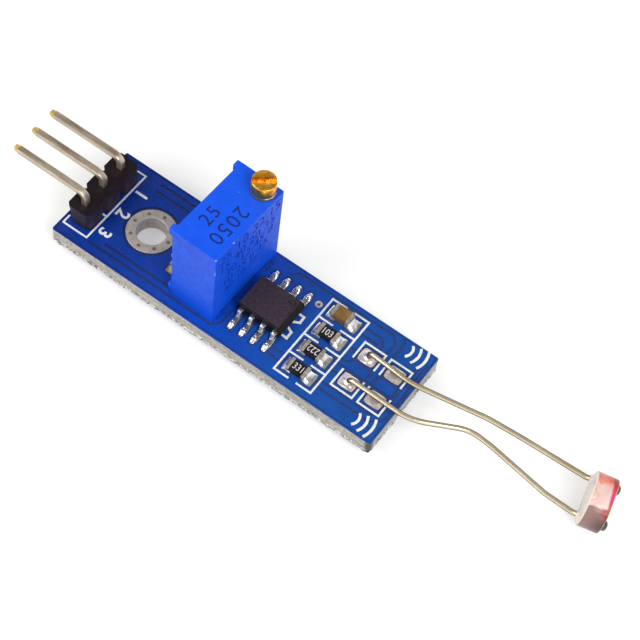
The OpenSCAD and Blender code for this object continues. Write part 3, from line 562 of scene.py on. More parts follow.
def puddle(length, width, height, corner=0.35, steps=(20, 14), waist=None, seed=0.0, rough=0.02):
    # a solder surface over a pad: height(u, v) with u, v from -1 to 1, closed underneath
    part = bmesh.new()
    bmesh.ops.create_grid(part, x_segments=steps[0], y_segments=steps[1], size=1.0)
    for vert in part.verts:
        u, v = vert.co.x, vert.co.y
        rim = max(abs(u), abs(v))
        roundU = u * (1 - corner * 0.5 * v * v * abs(v))
        roundV = v * (1 - corner * 0.5 * u * u * abs(u))
        wide = waist(u) if waist else 1.0
        uneven = noise.noise(Vector((u * 2.1 + seed, v * 2.1 - seed, seed))) * rough * (1 - rim)
        top = 0.025 + (height(u, v) + uneven) * (1 - rim ** 6)
        vert.co = Vector((roundU * length / 2, roundV * wide * width / 2, top))
    down = bmesh.ops.extrude_edge_only(part, edges=openEdges(part))["geom"]
    for vert in ofKind(down, bmesh.types.BMVert):
        vert.co.z = -0.03
    bmesh.ops.holes_fill(part, edges=openEdges(part))
    bmesh.ops.recalc_face_normals(part, faces=part.faces)
    return part


def addPiece(name, part, looks, replaced=(), body="module", smooth=40.0, place=fromCorner, flats=False):
    part.transform(place)
    bmesh.ops.scale(part, vec=(mm, mm, mm), verts=part.verts)
    mesh = meshOf(part, name, looks)
    mesh.shade_smooth()
    mesh.set_sharp_from_angle(angle=math.radians(smooth))
    piece = addObject(name, mesh)
    if flats:  # large flats stay flat beside rounded edges
        piece.modifiers.new("evenNormals", "WEIGHTED_NORMAL").keep_sharp = True
    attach(piece, body)
    if replaced:
        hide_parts(*replaced)


def dress(looks):
    for name, look in looks.items():
        for slot in nodes[name].material_slots:
            slot.material = finish[look]


# board: mask, laminate, ring, via
ringShape = {"outer": 2.42, "barrel": 1.475, "pitRadius": 0.2, "pitRow": 1.95, "pits": 8}
viaShape = {"x": 24.1, "y": midY + 3.35, "outer": 0.36, "inner": 0.19, "hole": 0.168}
tornShape = {"out": 0.07, "high": 0.34, "ragged": 0.11, "short": 0.3}


def addRing():
    hole, wide, inner = board["holeRadius"], ringShape["outer"], ringShape["barrel"]
    low, high = -board["cover"], deck
    ring = lathe([(inner, low), (wide - 0.03, low), (wide, low + 0.02), (wide, 0), (hole, 0), (hole, board["thick"]),
                  (wide, board["thick"]), (wide, high - 0.02), (wide - 0.03, high), (hole + 0.07, high),
                  (hole + 0.02, high - 0.015), (inner, high - 0.06), (inner, low)], 72)
    pits = bmesh.new()
    small = ringShape["pitRadius"]
    for i in range(ringShape["pits"]):
        for z, up in ((high, 1), (low, -1)):
            pit = [(0, -0.02), (small * 0.5, -0.022), (small * 0.8, -0.03), (small, 0.01), (0, 0.01)]
            pit = lathe([(r, h * up) for r, h in pit], 16, 1)
            turn = 2 * math.pi * i / ringShape["pits"]
            addInto(pits, pit, spot(ringShape["pitRow"] * math.cos(turn), ringShape["pitRow"] * math.sin(turn), z))
    ring = carve(ring, pits, ["tin", "tinStainAndShade"])
    addPiece("mountingRing", ring, ["tin", "tinStainAndShade"], ["mounting_ring"], place=Matrix(), smooth=30)


def addVia():
    low, high, thick = -board["cover"], deck, board["thick"]
    wide, inner, hole = viaShape["outer"], viaShape["inner"], viaShape["hole"]
    small = inner - 0.03
    ring = lathe([(small, low), (wide - 0.02, low), (wide, low + 0.02), (wide, 0), (hole, 0), (hole, thick),
                  (wide, thick), (wide, high - 0.02), (wide - 0.03, high), (inner + 0.03, high),
                  (small, high - 0.05), (small, low)], 28)
    addPiece("openVia", ring, ["tin"], ["via_ring"], place=fromCorner @ spot(viaShape["x"], viaShape["y"]))


def addTornEdges():
    # the strip of glass and resin that tears where the panel is snapped
    strips = bmesh.new()
    length, width, short = board["length"], board["width"], tornShape["short"]
    for x, y, run, turn in ((short, -0.01, length - 2 * short, 0), (length + 0.01, short, width - 2 * short, 90)):
        strip = box((0, -tornShape["out"], 0.0), (run, 0.1, tornShape["high"]))
        long = [e for e in strip.edges if abs(e.verts[0].co.x - e.verts[1].co.x) > 1]
        bmesh.ops.subdivide_edges(strip, edges=long, cuts=int(run * 5), use_grid_fill=True)
        wobble(strip, tornShape["ragged"], 2.6, turn * 0.1, lambda co: 1.0 if co.y < 0 else 0.0)
        roundEdges(strip, sharpEdges(strip, 60), 0.02, 1)
        addInto(strips, strip, spot(x, y, 0, turn))
    addPiece("tornEdges", strips, ["torn"], smooth=50)


dress({"circuit_board": "laminate", "top_cover": "mask", "bottom_cover": "mask"})
addTornEdges()
addRing()
addVia()
print("board dressed")

# white print: lines, arcs and plain pin numbers
printShape = {"width": 0.19, "low": -0.006, "high": 0.028, "numberHeight": 1.35, "arcsX": board["length"] - 3.25}
rowX, rowPitch, padX, spareX, padY = 26.85, 2.29, 30.9, 33.8, 1.58


def printedLine(bm, points, extra=0.0):
    # overlapping bars, each square at its ends
    half = (printShape["width"] + extra) / 2
    for (ax, ay), (bx, by) in zip(points, points[1:]):
        run = Vector((bx - ax, by - ay, 0))
        bar = box((-half, -half, printShape["low"]), (run.length + half, half, printShape["high"]), 0.008, 1)
        addInto(bm, bar, spot(ax, ay, deck) @ run.to_track_quat("X", "Z").to_matrix().to_4x4())


def printedArc(radius, half):
    inner, outer = [radius + s * printShape["width"] * 0.66 for s in (-1, 1)]
    low, high = printShape["low"], printShape["high"]
    arc = lathe([(inner, low), (outer, low), (outer, high), (inner, high), (inner, low)], 18, turn=2 * half)
    bmesh.ops.holes_fill(arc, edges=openEdges(arc))
    return arc


def addPrint():
    marks = bmesh.new()
    low, high = midY - 2 * rowPitch, midY + 2 * rowPitch
    lines = [[(0.37, 2.1), (0.37, 1.2), (3.12, 1.22), (3.12, 9.96), (2.2, 9.96)],  # round the header
             [(2.7, midY - 1.35), (3.12, midY - 1.35)]]
    for side in (-1, 1):  # round the row of chip parts
        near, far = rowX + side * 0.5, rowX + side * 2.02
        lines.append([(near, low), (far, low), (far, high), (near, high)])
        lines += [[(far, low + i * rowPitch), (near, low + i * rowPitch)] for i in (1, 2, 3)]
    for x in (padX, spareX):  # round the sensor's pads
        for s in (-1, 1):
            y = midY + s * padY
            lines.append([(x - 1.15, y - s * 0.75), (x - 1.15, y + s * 1.15), (x + 1.15, y + s * 1.15),
                          (x + 1.15, y - s * 0.75)])
    for line in lines:
        printedLine(marks, line)
    for line in ([(23.45, 6.86), (23.88, 6.85), (23.92, 6.16), (23.38, 5.86)],  # at the chip's end
                 [(23.4, 5.1), (23.88, 4.85), (23.9, 4.11), (23.42, 4.14)]):
        printedLine(marks, line, 0.05)
    for s, shiftX in ((1, 0.0), (-1, 0.1)):
        for radius, half in ((0.95, 46), (1.68, 33), (2.42, 26)):
            at = spot(printShape["arcsX"] + shiftX, midY + s * 4.3 + 0.12, deck, -half)
            addInto(marks, printedArc(radius, half), at)
    for text, y in (("1", 8.05), ("2", 5.3), ("3", 2.65)):
        number = digits(text, printShape["numberHeight"], printShape["high"] - printShape["low"], bold=0.02)
        addInto(marks, number, spot(4.12, y, deck + 0.011, -90))
    wobble(marks, 0.018, 3.0, 4.0, lambda co: 1.0 if co.z > deck + 0.01 else 0.0)
    addPiece("boardPrint", marks, ["ink"], ["printed_lines"], smooth=30)


addPrint()
print("print made")

# header: three joined insulator units and three bent square pins
headerShape = {"x": 1.68, "pitch": 2.54, "width": 2.5, "corner": 0.33, "dish": 0.13, "dishRadius": 0.66,
               "edge": 0.05, "core": 0.72}
pinShape = {"side": 0.64, "edge": 0.07, "rise": 3.93, "reach": 6.55, "bend": 0.8, "tail": 1.3, "point": 0.5,
            "tip": 0.47}
jointShape = {"length": 0.87, "low": -0.05}  # solder under the board


def headerUnit():
    span, half = headerShape["width"], headerShape["width"] / 2
    part = box((-half, -half, 0), (half, half, span))
    for vert in part.verts:  # the foot draws in towards the board's inside
        if vert.co.z < 0.1:
            vert.co.x += 0.3 if vert.co.x < 0 else -0.03
            vert.co.y *= 0.95
    upright = [e for e in part.edges if abs(e.verts[0].co.z - e.verts[1].co.z) > 1]
    roundEdges(part, upright, headerShape["corner"], 1)
    deep, wide = span - headerShape["dish"], headerShape["dishRadius"]
    cutter = lathe([(0, deep), (wide - 0.06, deep), (wide, span + 0.1), (0, span + 0.1)], 28)
    mark = lathe([(0, 0.05), (0.36, 0.05), (0.32, -0.05), (0, -0.05)], 22)
    addInto(cutter, mark, spot(half, 0, half, 90, "Y"))
    part = carve(part, cutter, ["header"])
    roundEdges(part, sharpEdges(part, 28), headerShape["edge"], 2)
    return part


def addHeader():
    x, pitch, core = headerShape["x"], headerShape["pitch"], headerShape["core"]
    units = bmesh.new()
    for i in (-1, 0, 1):
        addInto(units, headerUnit(), spot(x, midY + i * pitch, deck))
    top = deck + headerShape["width"] - 0.04
    addInto(units, box((x - core, midY - pitch, deck + 0.02), (x + core, midY + pitch, top), 0.04))
    addPiece("headerInsulator", units, ["header"], ["header_insulator"], flats=True, smooth=35)


def solderCone(base, tip, seed=0.0):
    # hangs under the board: wide at the pad, hollow flank, blunt end round the lead
    length = jointShape["length"]
    part = lathe([(0, 0.0), (base, 0.0), (base * 0.97, -0.05), (base * 0.82, -0.14), (base * 0.6 + tip * 0.14, -0.3),
                  (base * 0.35 + tip * 0.42, -0.5), (tip * 1.14, -0.7), (tip, -length), (tip * 0.75, -length - 0.05),
                  (0, -length - 0.06)], 28)
    wobble(part, 0.03, 1.3, seed, lambda co: 0.0 if co.z > -0.02 else 1.0)
    return part


def addPins():
    x, pitch, side = headerShape["x"], headerShape["pitch"], pinShape["side"]
    top, reach = board["thick"] + pinShape["rise"], -headerShape["x"] - pinShape["reach"]
    line = rounded([(0, 0, pinShape["point"] - pinShape["tail"]), (0, 0, top), (reach + pinShape["point"], 0, top)],
                   [pinShape["bend"]], 12)
    line = [Vector((0, 0, -pinShape["tail"]))] + line + [Vector((reach, 0, top))]
    small = pinShape["tip"] / side
    sizes = [small] + [1.0] * (len(line) - 2) + [small]
    cones = bmesh.new()
    for i in (-1, 0, 1):
        pin = sweep(flatSection(side, side, pinShape["edge"]), line, sizes=sizes)
        for face in pin.faces:
            if face.calc_center_median().x < reach + 0.3:
                face.material_index = 1
        number = str(i + 2)
        addPiece("headerPin" + number, pin, ["pinMetal", "pinCut"], ["header_pin_" + number], smooth=35,
                 flats=True, place=fromCorner @ spot(x, midY + i * pitch))
        addInto(cones, solderCone(0.9, 0.47, 3.1 * i), spot(x, midY + i * pitch, jointShape["low"]))
    addPiece("headerJoints", cones, ["solder"], ["header_solder"])


addHeader()
addPins()
print("header made")

# trimmer: stamped case, potted base, brass screw
trimmerShape = {"width": 4.83, "length": 9.53, "low": 0.4, "high": 10.43, "edge": 0.09, "foot": 1.3, "nub": 0.4,
                "nubLength": 0.75, "nubHeight": 0.95, "wall": 0.5, "screwX": 1.015, "screwY": 3.565,
                "screwHole": 0.75, "screwBore": 9.65, "pinPitch": 2.54}
stampTop = [("2", 1.4, 1.0, 0.5, -90), ("0", 1.4, 1.0, -0.65, -90), ("5", 1.4, 1.0, -1.8, -90),
            ("0", 1.4, 1.0, -2.95, -90), ("2", 1.3, -0.93, -2.04, 90), ("5", 1.3, -0.93, -0.98, 90)]
stampSide = [("25 10 32 15", 1.25, 9.15, 0.1), ("15 40 20 35", 1.15, 7.65, -0.1), ("30 12 45 8", 1.1, 6.25, 0.2),
             ("10 25 6 15", 1.05, 4.9, -0.2), ("40 10 22", 0.95, 3.6, -0.9)]
flawSeeds = (1.0, 2.0, 3.0, 5.0, 6.0)


def addCase():
    half, long = trimmerShape["width"] / 2, trimmerShape["length"] / 2
    low, high = trimmerShape["low"], trimmerShape["high"]
    looks = ["trimmer", "stamp", "engraved"]
    case = box((-half, -long, low), (half, long, high), trimmerShape["edge"], 3)
    cutter = bmesh.new()
    for text, height, x, y, turn in stampTop:
        addInto(cutter, digits(text, height, 0.14, 1), spot(x, y, high, turn))
    for text, height, z, y in stampSide:
        addInto(cutter, digits(text, height, 0.16, 2), spot(half, y, z, 90) @ spot(turn=90, axis="X"))
    deep, wide = -trimmerShape["screwBore"], trimmerShape["screwHole"]
    addInto(cutter, lathe([(0, deep), (wide, deep), (wide, 0.1), (0, 0.1)], 32),
            spot(trimmerShape["screwX"], trimmerShape["screwY"], high))
    insideX, insideY = half - trimmerShape["wall"], long - trimmerShape["wall"]
    addInto(cutter, box((-insideX, -insideY, low - 0.2), (insideX, insideY, low + 0.2)))
    case = carve(case, cutter, looks)
    for side in (-1, 1):
        ends = sorted((side * long, side * (long - trimmerShape["foot"])))
        foot = box((-half + 0.01, ends[0] + 0.01, board["cover"]), (half - 0.01, ends[1] - 0.01, low + 0.12), 0.05)
        addInto(case, foot)
        ends = sorted((side * long, side * (long - trimmerShape["nubLength"])))
        tall = trimmerShape["nubHeight"]
        for z in (low, high - tall):
            addInto(case, box((-half - trimmerShape["nub"], ends[0], z), (-half + 0.12, ends[1], z + tall), 0.13, 3))
    addPiece("trimmerCase", case, looks, ["trimmer_case"], place=fromTrimmer, smooth=35, flats=True)
    flaws = bmesh.new()  # chips of the moulding where it was handled
    spots = (((half - 0.02, -2.33, high - 0.03), (0.05, 0.11, 0.05)),
             ((-0.54, 2.07, high), (0.045, 0.045, 0.02)),
             ((half - 0.03, -long + 0.03, 8.2), (0.03, 0.03, 0.3)),
             ((-half + 0.03, -long + 0.03, 6.4), (0.03, 0.03, 0.22)),
             ((half - 0.03, -long + 0.05, high - 0.04), (0.07, 0.06, 0.05)))
    for (at, size), seed in zip(spots, flawSeeds):
        flake = box([-s for s in size], size, min(size) * 0.5, 2)
        wobble(flake, 0.03, 6.0, seed)
        addInto(flaws, flake, spot(*at))
    addPiece("caseFlaws", flaws, ["chipped"], place=fromTrimmer)
    joints = bmesh.new()
    for i in (-1, 0, 1):
        at = spot(0, i * trimmerShape["pinPitch"], jointShape["low"] - board["thick"])
        addInto(joints, solderCone(0.9, 0.3, 9.0 + 2.3 * i), at)
    addPiece("trimmerJoints", joints, ["solder"], ["trimmer_solder"], place=fromTrimmer)


screwShape = {"radius": 1.16, "height": 1.65, "slotWidth": 0.6, "slotDepth": 0.6, "slotTurn": 40, "shank": 0.7,
              "shankLength": 9.5, "edge": 0.035}


def addScrew():
    r, h, shank, long = (screwShape[key] for key in ("radius", "height", "shank", "shankLength"))
    screw = lathe([(0, -long), (shank - 0.08, -long), (shank, 0.1 - long), (shank, 0.0), (r - 0.08, 0.0), (r, 0.08),
                   (r, 0.3), (r - 0.025, 0.34), (r - 0.025, 0.4), (r, 0.44), (r, h - 0.13), (r - 0.04, h - 0.04),
                   (r - 0.13, h), (0, h)], 64)
    half = screwShape["slotWidth"] / 2
    slot = box((-2, -half, h - screwShape["slotDepth"]), (2, half, h + 1))
    slot.transform(spot(turn=screwShape["slotTurn"]))
    screw = carve(screw, slot, ["brass"])
    rim = [e for e in sharpEdges(screw, 40) if min(v.co.z for v in e.verts) > h - 0.5]
    roundEdges(screw, rim, screwShape["edge"], 2)
    at = spot(trimmerShape["screwX"], trimmerShape["screwY"], trimmerShape["high"] + 0.03)
    addPiece("trimmerScrew", screw, ["brass"], ["trimmer_screw"], body="adjuster", smooth=35, flats=True,
             place=fromTrimmer @ at)


addCase()
addScrew()
dress({"trimmer_base": "potting", "trimmer_element": "ceramic", "trimmer_track": "carbon",
       "trimmer_carriage": "palePlastic", "trimmer_wiper": "spring", "trimmer_pins": "icLead"})
print("trimmer made")

# chip: moulded body, eight bent leads, solder on the pads
chipShape = {"x": 21.05, "length": 4.9, "width": 3.9, "low": 1.78, "mid": 2.476, "high": 3.23, "endSlope": 0.38,
             "sideSlope": 0.16, "draft": 0.24, "pitch": 1.27, "leadWidth": 0.42, "leadThick": 0.2, "leadBend": 0.16,
             "leadOut": 2.16, "footIn": 2.4, "footOut": 3.0}


def addChipBody():
    long, wide, draft = chipShape["length"], chipShape["width"], chipShape["draft"]
    endSlope, sideSlope = chipShape["endSlope"], chipShape["sideSlope"]
    body = flatSection(long - draft, wide - draft)
    face = next(iter(body.faces))
    face = grow(body, face, (0, 0, chipShape["mid"] - chipShape["low"]), long / (long - draft), wide / (wide - draft))
    grow(body, face, ((sideSlope - endSlope) / 2, 0, chipShape["high"] - chipShape["mid"]),
         (long - endSlope - sideSlope) / long, (wide - 2 * sideSlope) / wide)
    bmesh.ops.recalc_face_normals(body, faces=body.faces)
    tall = chipShape["high"] - chipShape["low"]
    dimple = lathe([(0, tall - 0.12), (0.22, tall - 0.11), (0.3, tall - 0.06), (0.34, tall + 0.05),
                    (0, tall + 0.05)], 28)
    dimple.transform(spot(long / 2 - 0.85, wide / 2 - 0.85))
    body = carve(body, dimple, ["chip"])
    roundEdges(body, sharpEdges(body, 20), 0.035, 2)
    addPiece("chipBody", body, ["chip"], ["chip_body"], smooth=30, flats=True,
             place=fromCorner @ spot(chipShape["x"], midY, chipShape["low"]))


def hill(value, at, width):
    return math.exp(-((value - at) / width) ** 2)


def leadSolder(u, v):
    # piled up behind the foot, with a low heel
    return 0.035 + 0.3 * hill(u, 0.5, 0.26) * (1 - 0.75 * v * v) + 0.06 * hill(u, -0.55, 0.4)


def leadWaist(u):
    return 0.78 + 0.26 * hill(u, 0.52, 0.42)


def addChipLeads():
    leads, blobs = bmesh.new(), bmesh.new()
    high, foot = chipShape["mid"], deck + chipShape["leadThick"] / 2
    line = rounded([(0, 1.6, high), (0, chipShape["leadOut"], high), (0, chipShape["footIn"], foot),
                    (0, chipShape["footOut"], foot)], [chipShape["leadBend"]] * 2, 4)
    for i in range(4):
        for s in (-1, 1):
            at = spot(chipShape["x"] + (i - 1.5) * chipShape["pitch"], midY, 0, 0 if s > 0 else 180)
            section = flatSection(chipShape["leadWidth"], chipShape["leadThick"], 0.04)
            addInto(leads, sweep(section, line, side=(1, 0, 0)), at)
            shoulder = box((-0.27, 1.62, high - 0.11), (0.27, 1.98, high + 0.11), 0.03)  # where it leaves the moulding
            addInto(leads, shoulder, at)
            blob = puddle(2.0, 0.74, leadSolder, 0.5, (26, 14), leadWaist, seed=i * 1.7 + s)
            addInto(blobs, blob, at @ spot(0, 2.85, deck, 90))
    addPiece("chipLeads", leads, ["icLead"], ["chip_leads"])
    addPiece("chipSolder", blobs, ["solder"], ["chip_solder"], smooth=60)


addChipBody()
addChipLeads()
print("chip made")

# four chip parts in a row, and one beside the trimmer
partShape = {"length": 2.0, "width": 1.25, "end": 0.35, "shift": -0.2, "resistor": 0.55, "capacitor": 0.95,
             "padInner": 0.6, "padOuter": 1.62, "padWidth": 1.45, "codeHeight": 0.68, "codeWidth": 0.8}
partCodes = ["331", "222", "103"]
sidePart = {"x": 11.6, "y": midY - 0.95}


def chipPart(height, code=None, turn=0):
    # body between its metal ends, standing on z = 0
    half, wide, end = partShape["length"] / 2, partShape["width"] / 2, partShape["end"]
    part = box((-half + end - 0.05, -wide, 0.05), (half - end + 0.05, wide, height - 0.02), 0.03)
    coat = box((-half + end + 0.02, -wide + 0.06, height - 0.06), (half - end - 0.02, wide - 0.06, height), 0.03)
    addInto(part, coat)  # glass, a little proud of the ceramic
    if code:
        number = digits(code, partShape["codeHeight"], 0.012, 1)
        bmesh.ops.scale(number, vec=(partShape["codeWidth"], 1, 1), verts=number.verts)
        addInto(part, number, spot(0, 0, height + 0.004, turn))
    return part


def metalEnds(height, seed=0.0):
    half, wide, end = partShape["length"] / 2, partShape["width"] / 2 + 0.02, partShape["end"]
    ends = bmesh.new()
    for s in (-1, 1):
        left, right = sorted((s * half, s * (half - end)))
        cap = box((left, -wide, 0), (right, wide, height + 0.03))
        bmesh.ops.subdivide_edges(cap, edges=cap.edges[:], cuts=3, use_grid_fill=True)
        roundEdges(cap, sharpEdges(cap, 60), 0.06, 2)
        wobble(cap, 0.03, 2.2, seed + s, lambda co: 0.0 if co.z < 0.05 else 1.0)
        addInto(ends, cap)
    return ends


def endSolder(height, shift, seed=0.0):
    # pads with a hollow fillet that climbs each metal end
    joints = bmesh.new()
    inner, outer = partShape["padInner"], partShape["padOuter"]
    run, rise = outer - inner, min(0.78 * height, 0.55)
    for s in (-1, 1):
        face = partShape["length"] / 2 + s * shift

        def climb(u, v, face=face):
            beyond = inner + (u + 1) / 2 * run - face
            if beyond < 0:
                return rise * (0.9 + beyond)
            left = max(0.0, 1 - beyond / (outer - face))
            return 0.03 + rise * left ** 1.8 * (1 - 0.35 * v * v)

        joint = puddle(run, partShape["padWidth"], climb, 0.1, (22, 14), seed=seed + s * 2.1, rough=0.04)
        addInto(joints, joint, spot(turn=0 if s > 0 else 180) @ spot((inner + outer) / 2))
    return joints


def addRow():
    ends, joints = bmesh.new(), bmesh.new()
    for i in range(4):
        y = midY + (i - 1.5) * rowPitch
        height = partShape["capacitor" if i == 3 else "resistor"]
        at = spot(rowX + partShape["shift"], y, deck)
        if i < 3:
            body = chipPart(height, partCodes[i], 180 if i == 1 else 0)
            addPiece("resistor" + str(i + 1), body, ["resistor", "glaze"], ["resistor_" + str(i + 1)],
                     place=fromCorner @ at, flats=True, smooth=35)
        else:
            addPiece("capacitorBody", chipPart(height + 0.02), ["capacitor"], ["capacitor"],
                     place=fromCorner @ at, flats=True)
        addInto(ends, metalEnds(height, i * 1.3), at)
        addInto(joints, endSolder(height, partShape["shift"], i * 3.3), spot(rowX, y, deck))
    addPiece("partEnds", ends, ["capEnd"], ["part_end_caps"])
    addPiece("partSolder", joints, ["solder"], ["part_solder"], smooth=60)


def addSidePart():
    at = fromCorner @ spot(sidePart["x"], sidePart["y"], deck, 90)
    height = partShape["resistor"]
    addPiece("sidePart", chipPart(height), ["ceramic"], ["side_part_body"], place=at, flats=True)
    addPiece("sidePartEnds", metalEnds(height, 7.0), ["capEnd"], ["side_part_ends"], place=at)
    # painted shade: the side part's solder takes the darker stained tin beside the trimmer
    addPiece("sidePartSolder", endSolder(height, 0, 8.0), ["tinStainAndShade"], ["side_part_solder"], place=at,
             smooth=60)


addRow()
addSidePart()
print("chip parts made")

# sensor leads, their joints and the spare pads
leadShape = {"radius": 0.25, "tail": 1.3, "bend": 0.6, "apart": 1.7}
leadWays = {  # beyond the end of the board as a part of the reach, across the board, over its face
    -1: (0.75, [(0.08, -1.66, 0.75), (0.329, 1.0, 0.45), (0.453, 0.93, 0.3), (0.782, 0.15, 0.0)], [6, 4, 8, 5, 2]),
    1: (1.1, [(-0.03, 1.25, 1.1), (0.371, 2.7, 0.95), (0.541, 3.02, 0.8)], [8, 12, 12, 2]),
}
padShape = {"length": 1.7, "width": 1.5, "corner": 0.2, "steps": (30, 26), "dull": 0.5}


def addLeads():
    for s, name in ((-1, "Near"), (1, "Far")):
        over, way, bends = leadWays[s]
        y = midY + s * padY
        points = [(padX, y, -leadShape["tail"]), (padX, y, board["thick"] + over)]
        points += [(board["length"] + a * sensorReach, midY + b, board["thick"] + c) for a, b, c in way]
        points += [sensorAt + sensorTurn @ Vector((x, s * leadShape["apart"], 0)) for x in (-1.725, 1.125)]
        lead = sweep(roundSection(leadShape["radius"]), rounded(points, [leadShape["bend"]] + bends, 8))
        node = "sensor_lead_" + ("1" if s < 0 else "2")
        addPiece("sensorLead" + name, lead, ["leadMetal"], [node], smooth=60)


def leadDome(u, v):
    # rises round the lead, with a hollow beside it
    reach = math.hypot(u * 0.85, v * 0.75)
    swirl = 0.05 * math.sin(math.atan2(v, u) * 2 + reach * 6) * hill(reach, 0.45, 0.25)
    return 0.06 + 0.3 * hill(reach, 0, 0.42) + swirl - 0.1 * hill(u, 0.35, 0.16) * hill(v, -0.1, 0.2)


def spareDish(u, v):
    # a filled hole: a round dish with a low rim
    reach = math.hypot(u * 0.85, v * 0.75)
    return 0.035 + 0.05 * hill(reach, 0.56, 0.09) - 0.012 * (reach < 0.5)


def padSolder(height, seed, rough):
    return puddle(padShape["length"], padShape["width"], height, padShape["corner"], padShape["steps"], seed=seed,
                  rough=rough)


def addPads():
    joints, spares = bmesh.new(), bmesh.new()
    for s in (-1, 1):
        y = midY + s * padY
        addInto(joints, padSolder(leadDome, 3.0 + s, 0.05), spot(padX, y, deck))
        addInto(joints, solderCone(0.78, 0.33, 5.0 + s), spot(padX, y, jointShape["low"]))
        spare = padSolder(spareDish, 6.0 + s, 0.015)
        for face in spare.faces:
            centre = face.calc_center_median()
            if math.hypot(centre.x, centre.y) < padShape["dull"] and centre.z > 0:
                face.material_index = 1
        addInto(spares, spare, spot(spareX, y, deck))
        under = lathe([(0, 0.0), (0.75, 0.0), (0.73, -0.02), (0.4, -0.06), (0, -0.075)], 26, 1)
        addInto(spares, under, spot(spareX, y, -0.045))
    addPiece("sensorJoints", joints, ["solderWarm"], ["sensor_solder"], smooth=60)
    addPiece("sparePads", spares, ["solderWarm", "solderDull"], ["spare_solder"], smooth=60)


addLeads()
addPads()
print("leads and pads made")

# light sensor: tinted sides, clear window, resin drops on the lead ends
sensorShape = {"across": 5.1, "flats": 4.3, "thick": 2.05, "wall": 0.1, "edge": 0.12, "windowFloor": 0.43,
               "window": 0.08}


def flatDisc(across, flats, low, high, edge=0.0):
    # its thickness lies along X
    part = bmesh.new()
    bmesh.ops.create_circle(part, cap_ends=True, segments=96, radius=across / 2)
    for normal in ((0, 1, 0), (0, -1, 0)):
        geom = part.verts[:] + part.edges[:] + part.faces[:]
        at = [n * flats / 2 for n in normal]
        bmesh.ops.bisect_plane(part, geom=geom, plane_co=at, plane_no=normal, clear_outer=True)
    grow(part, next(iter(part.faces)), (0, 0, high - low))
    bmesh.ops.recalc_face_normals(part, faces=part.faces)
    if edge:
        roundEdges(part, sharpEdges(part, 60), edge, 3)
    part.transform(Matrix(((0, 0, 1, low), (1, 0, 0, 0), (0, 1, 0, 0), (0, 0, 0, 1))))
    part.normal_update()
    return part


def addSensor():
    half, wall = sensorShape["thick"] / 2, sensorShape["wall"]
    across, flats = sensorShape["across"], sensorShape["flats"]
    shell = flatDisc(across, flats, -half, half, sensorShape["edge"])
    for face in shell.faces:
        if face.normal.x > 0.9:
            face.material_index = 1
    low, high = half - sensorShape["windowFloor"], half - sensorShape["window"]
    hollow = flatDisc(across - 2 * wall, flats - 2 * wall, low, high)
    shell = carve(shell, inSlot(hollow, 1), ["sensorPaint", "clear"])  # clear, down to the face of the ceramic
    addPiece("sensorShell", shell, ["sensorPaint", "clear"], ["sensor_resin"], place=fromSensor, smooth=35)
    drops = bmesh.new()
    for s in (-1, 1):
        y = s * leadShape["apart"]
        drop = lathe([(0, -0.02), (0.55, -0.02), (0.54, 0.12), (0.5, 0.3), (0.4, 0.44), (0.24, 0.52), (0.1, 0.545),
                      (0, 0.55)], 28)
        addInto(drops, drop, spot(half, y, 0, 90, "Y"))
        collar = lathe([(0, -0.345), (0.3, -0.345), (0.32, -0.28), (0.37, -0.16), (0.47, -0.05), (0.62, 0.01),
                        (0, 0.01)], 28, 1)
        wobble(collar, 0.03, 2.0, s, lambda co: 0.0 if co.z > 0 else 1.0)
        addInto(drops, collar, spot(-half, y, 0, 90, "Y"))
    addPiece("resinDrops", drops, ["leadTip", "sensorPaint"], place=fromSensor, smooth=60)


addSensor()
dress({"sensor_ceramic": "ceramic", "sensor_track": "sensorTrack", "sensor_electrodes": "electrode"})
print("sensor made")

# floor, world and lamps: each lamp has its place, aim and size in mm, and its power
studio = {"floor": -1.32, "floorSize": 900.0, "fill": 0.42, "lamps": {
    "keyLamp": ((150, -60, 170), (10, 0, 2), 130, 0.3),
    "sideLamp": ((-100, -130, 160), (5, 0, 2), 150, 0.24),
}}


def highest(tree, path, *rays):
    # 1 for any of these kinds of ray
    level = path.outputs[rays[-1]]
    for ray in rays[-2::-1]:
        level = mathOf(tree, "MAXIMUM", path.outputs[ray], level)
    return level


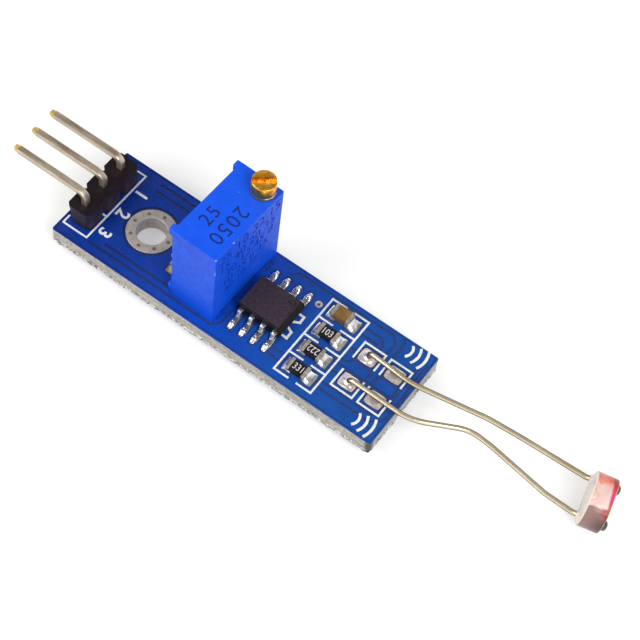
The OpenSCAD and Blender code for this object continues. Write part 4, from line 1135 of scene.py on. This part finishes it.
def addFloor():
    part = bmesh.new()
    bmesh.ops.create_grid(part, x_segments=4, y_segments=4, size=studio["floorSize"] / 2)
    bmesh.ops.translate(part, vec=(0, 0, studio["floor"]), verts=part.verts)
    bmesh.ops.scale(part, vec=(mm, mm, mm), verts=part.verts)
    mat, tree = newFinish("paleFloor", "#f2f2f0", 0.9, **{"Specular IOR Level": 0.1, "Emission Strength": 1.0})
    shader = tree.nodes["Principled BSDF"]
    path = tree.nodes.new("ShaderNodeLightPath")
    seen = highest(tree, path, "Is Camera Ray", "Is Glossy Ray", "Is Transmission Ray")
    tree.links.new(mixOf(tree, seen, "#d2d2d0", "#dededc"), shader.inputs["Base Color"])
    tree.links.new(mixOf(tree, seen, "#000000", "#a6a6a6"), shader.inputs["Emission Color"])  # keeps the shadow faint
    clear = tree.nodes.new("ShaderNodeBsdfTransparent")  # open from below
    side = tree.nodes.new("ShaderNodeNewGeometry")
    either = tree.nodes.new("ShaderNodeMixShader")
    under = times(tree, side.outputs["Backfacing"], path.outputs["Is Camera Ray"])
    for source, socket in ((under, either.inputs["Fac"]), (shader.outputs["BSDF"], either.inputs[1]),
                           (clear.outputs["BSDF"], either.inputs[2]),
                           (either.outputs["Shader"], tree.nodes["Material Output"].inputs["Surface"])):
        tree.links.new(source, socket)
    mesh = meshOf(part, "floor", [])
    mesh.materials.append(mat)
    addObject("floor", mesh)


def lightWorld():
    world = bpy.data.worlds.new("studio")
    bpy.context.scene.world = world
    world.use_nodes = True
    tree = world.node_tree
    tree.nodes.clear()
    out = tree.nodes.new("ShaderNodeOutputWorld")
    shade = tree.nodes.new("ShaderNodeBackground")
    up = axesOf(tree, tree.nodes.new("ShaderNodeTexCoord").outputs["Generated"])["Z"]
    path = tree.nodes.new("ShaderNodeLightPath")
    sky = rampOf(tree, stepOf(tree, up, 0.4, 0.82), [(0.0, 1.0), (1.0, 0.2)])
    level = mixOf(tree, path.outputs["Is Glossy Ray"], (studio["fill"],) * 3 + (1.0,), sky)
    seen = highest(tree, path, "Is Camera Ray", "Is Transmission Ray")
    tree.links.new(mixOf(tree, seen, level, (1.0, 1.0, 1.0, 1.0)), shade.inputs["Color"])
    tree.links.new(shade.outputs["Background"], out.inputs["Surface"])


def addLamps():
    for name, (place, aim, size, power) in studio["lamps"].items():
        data = bpy.data.lights.new(name, "AREA")
        data.shape = "DISK"
        data.size = size * mm
        data.energy = power
        lamp = addObject(name, data)
        lamp.location = Vector(place) * mm
        lamp.rotation_euler = (Vector(place) - Vector(aim)).to_track_quat("Z", "Y").to_euler()


addFloor()
lightWorld()
addLamps()
bpy.context.scene.view_settings.view_transform = "Standard"
print("studio lit")
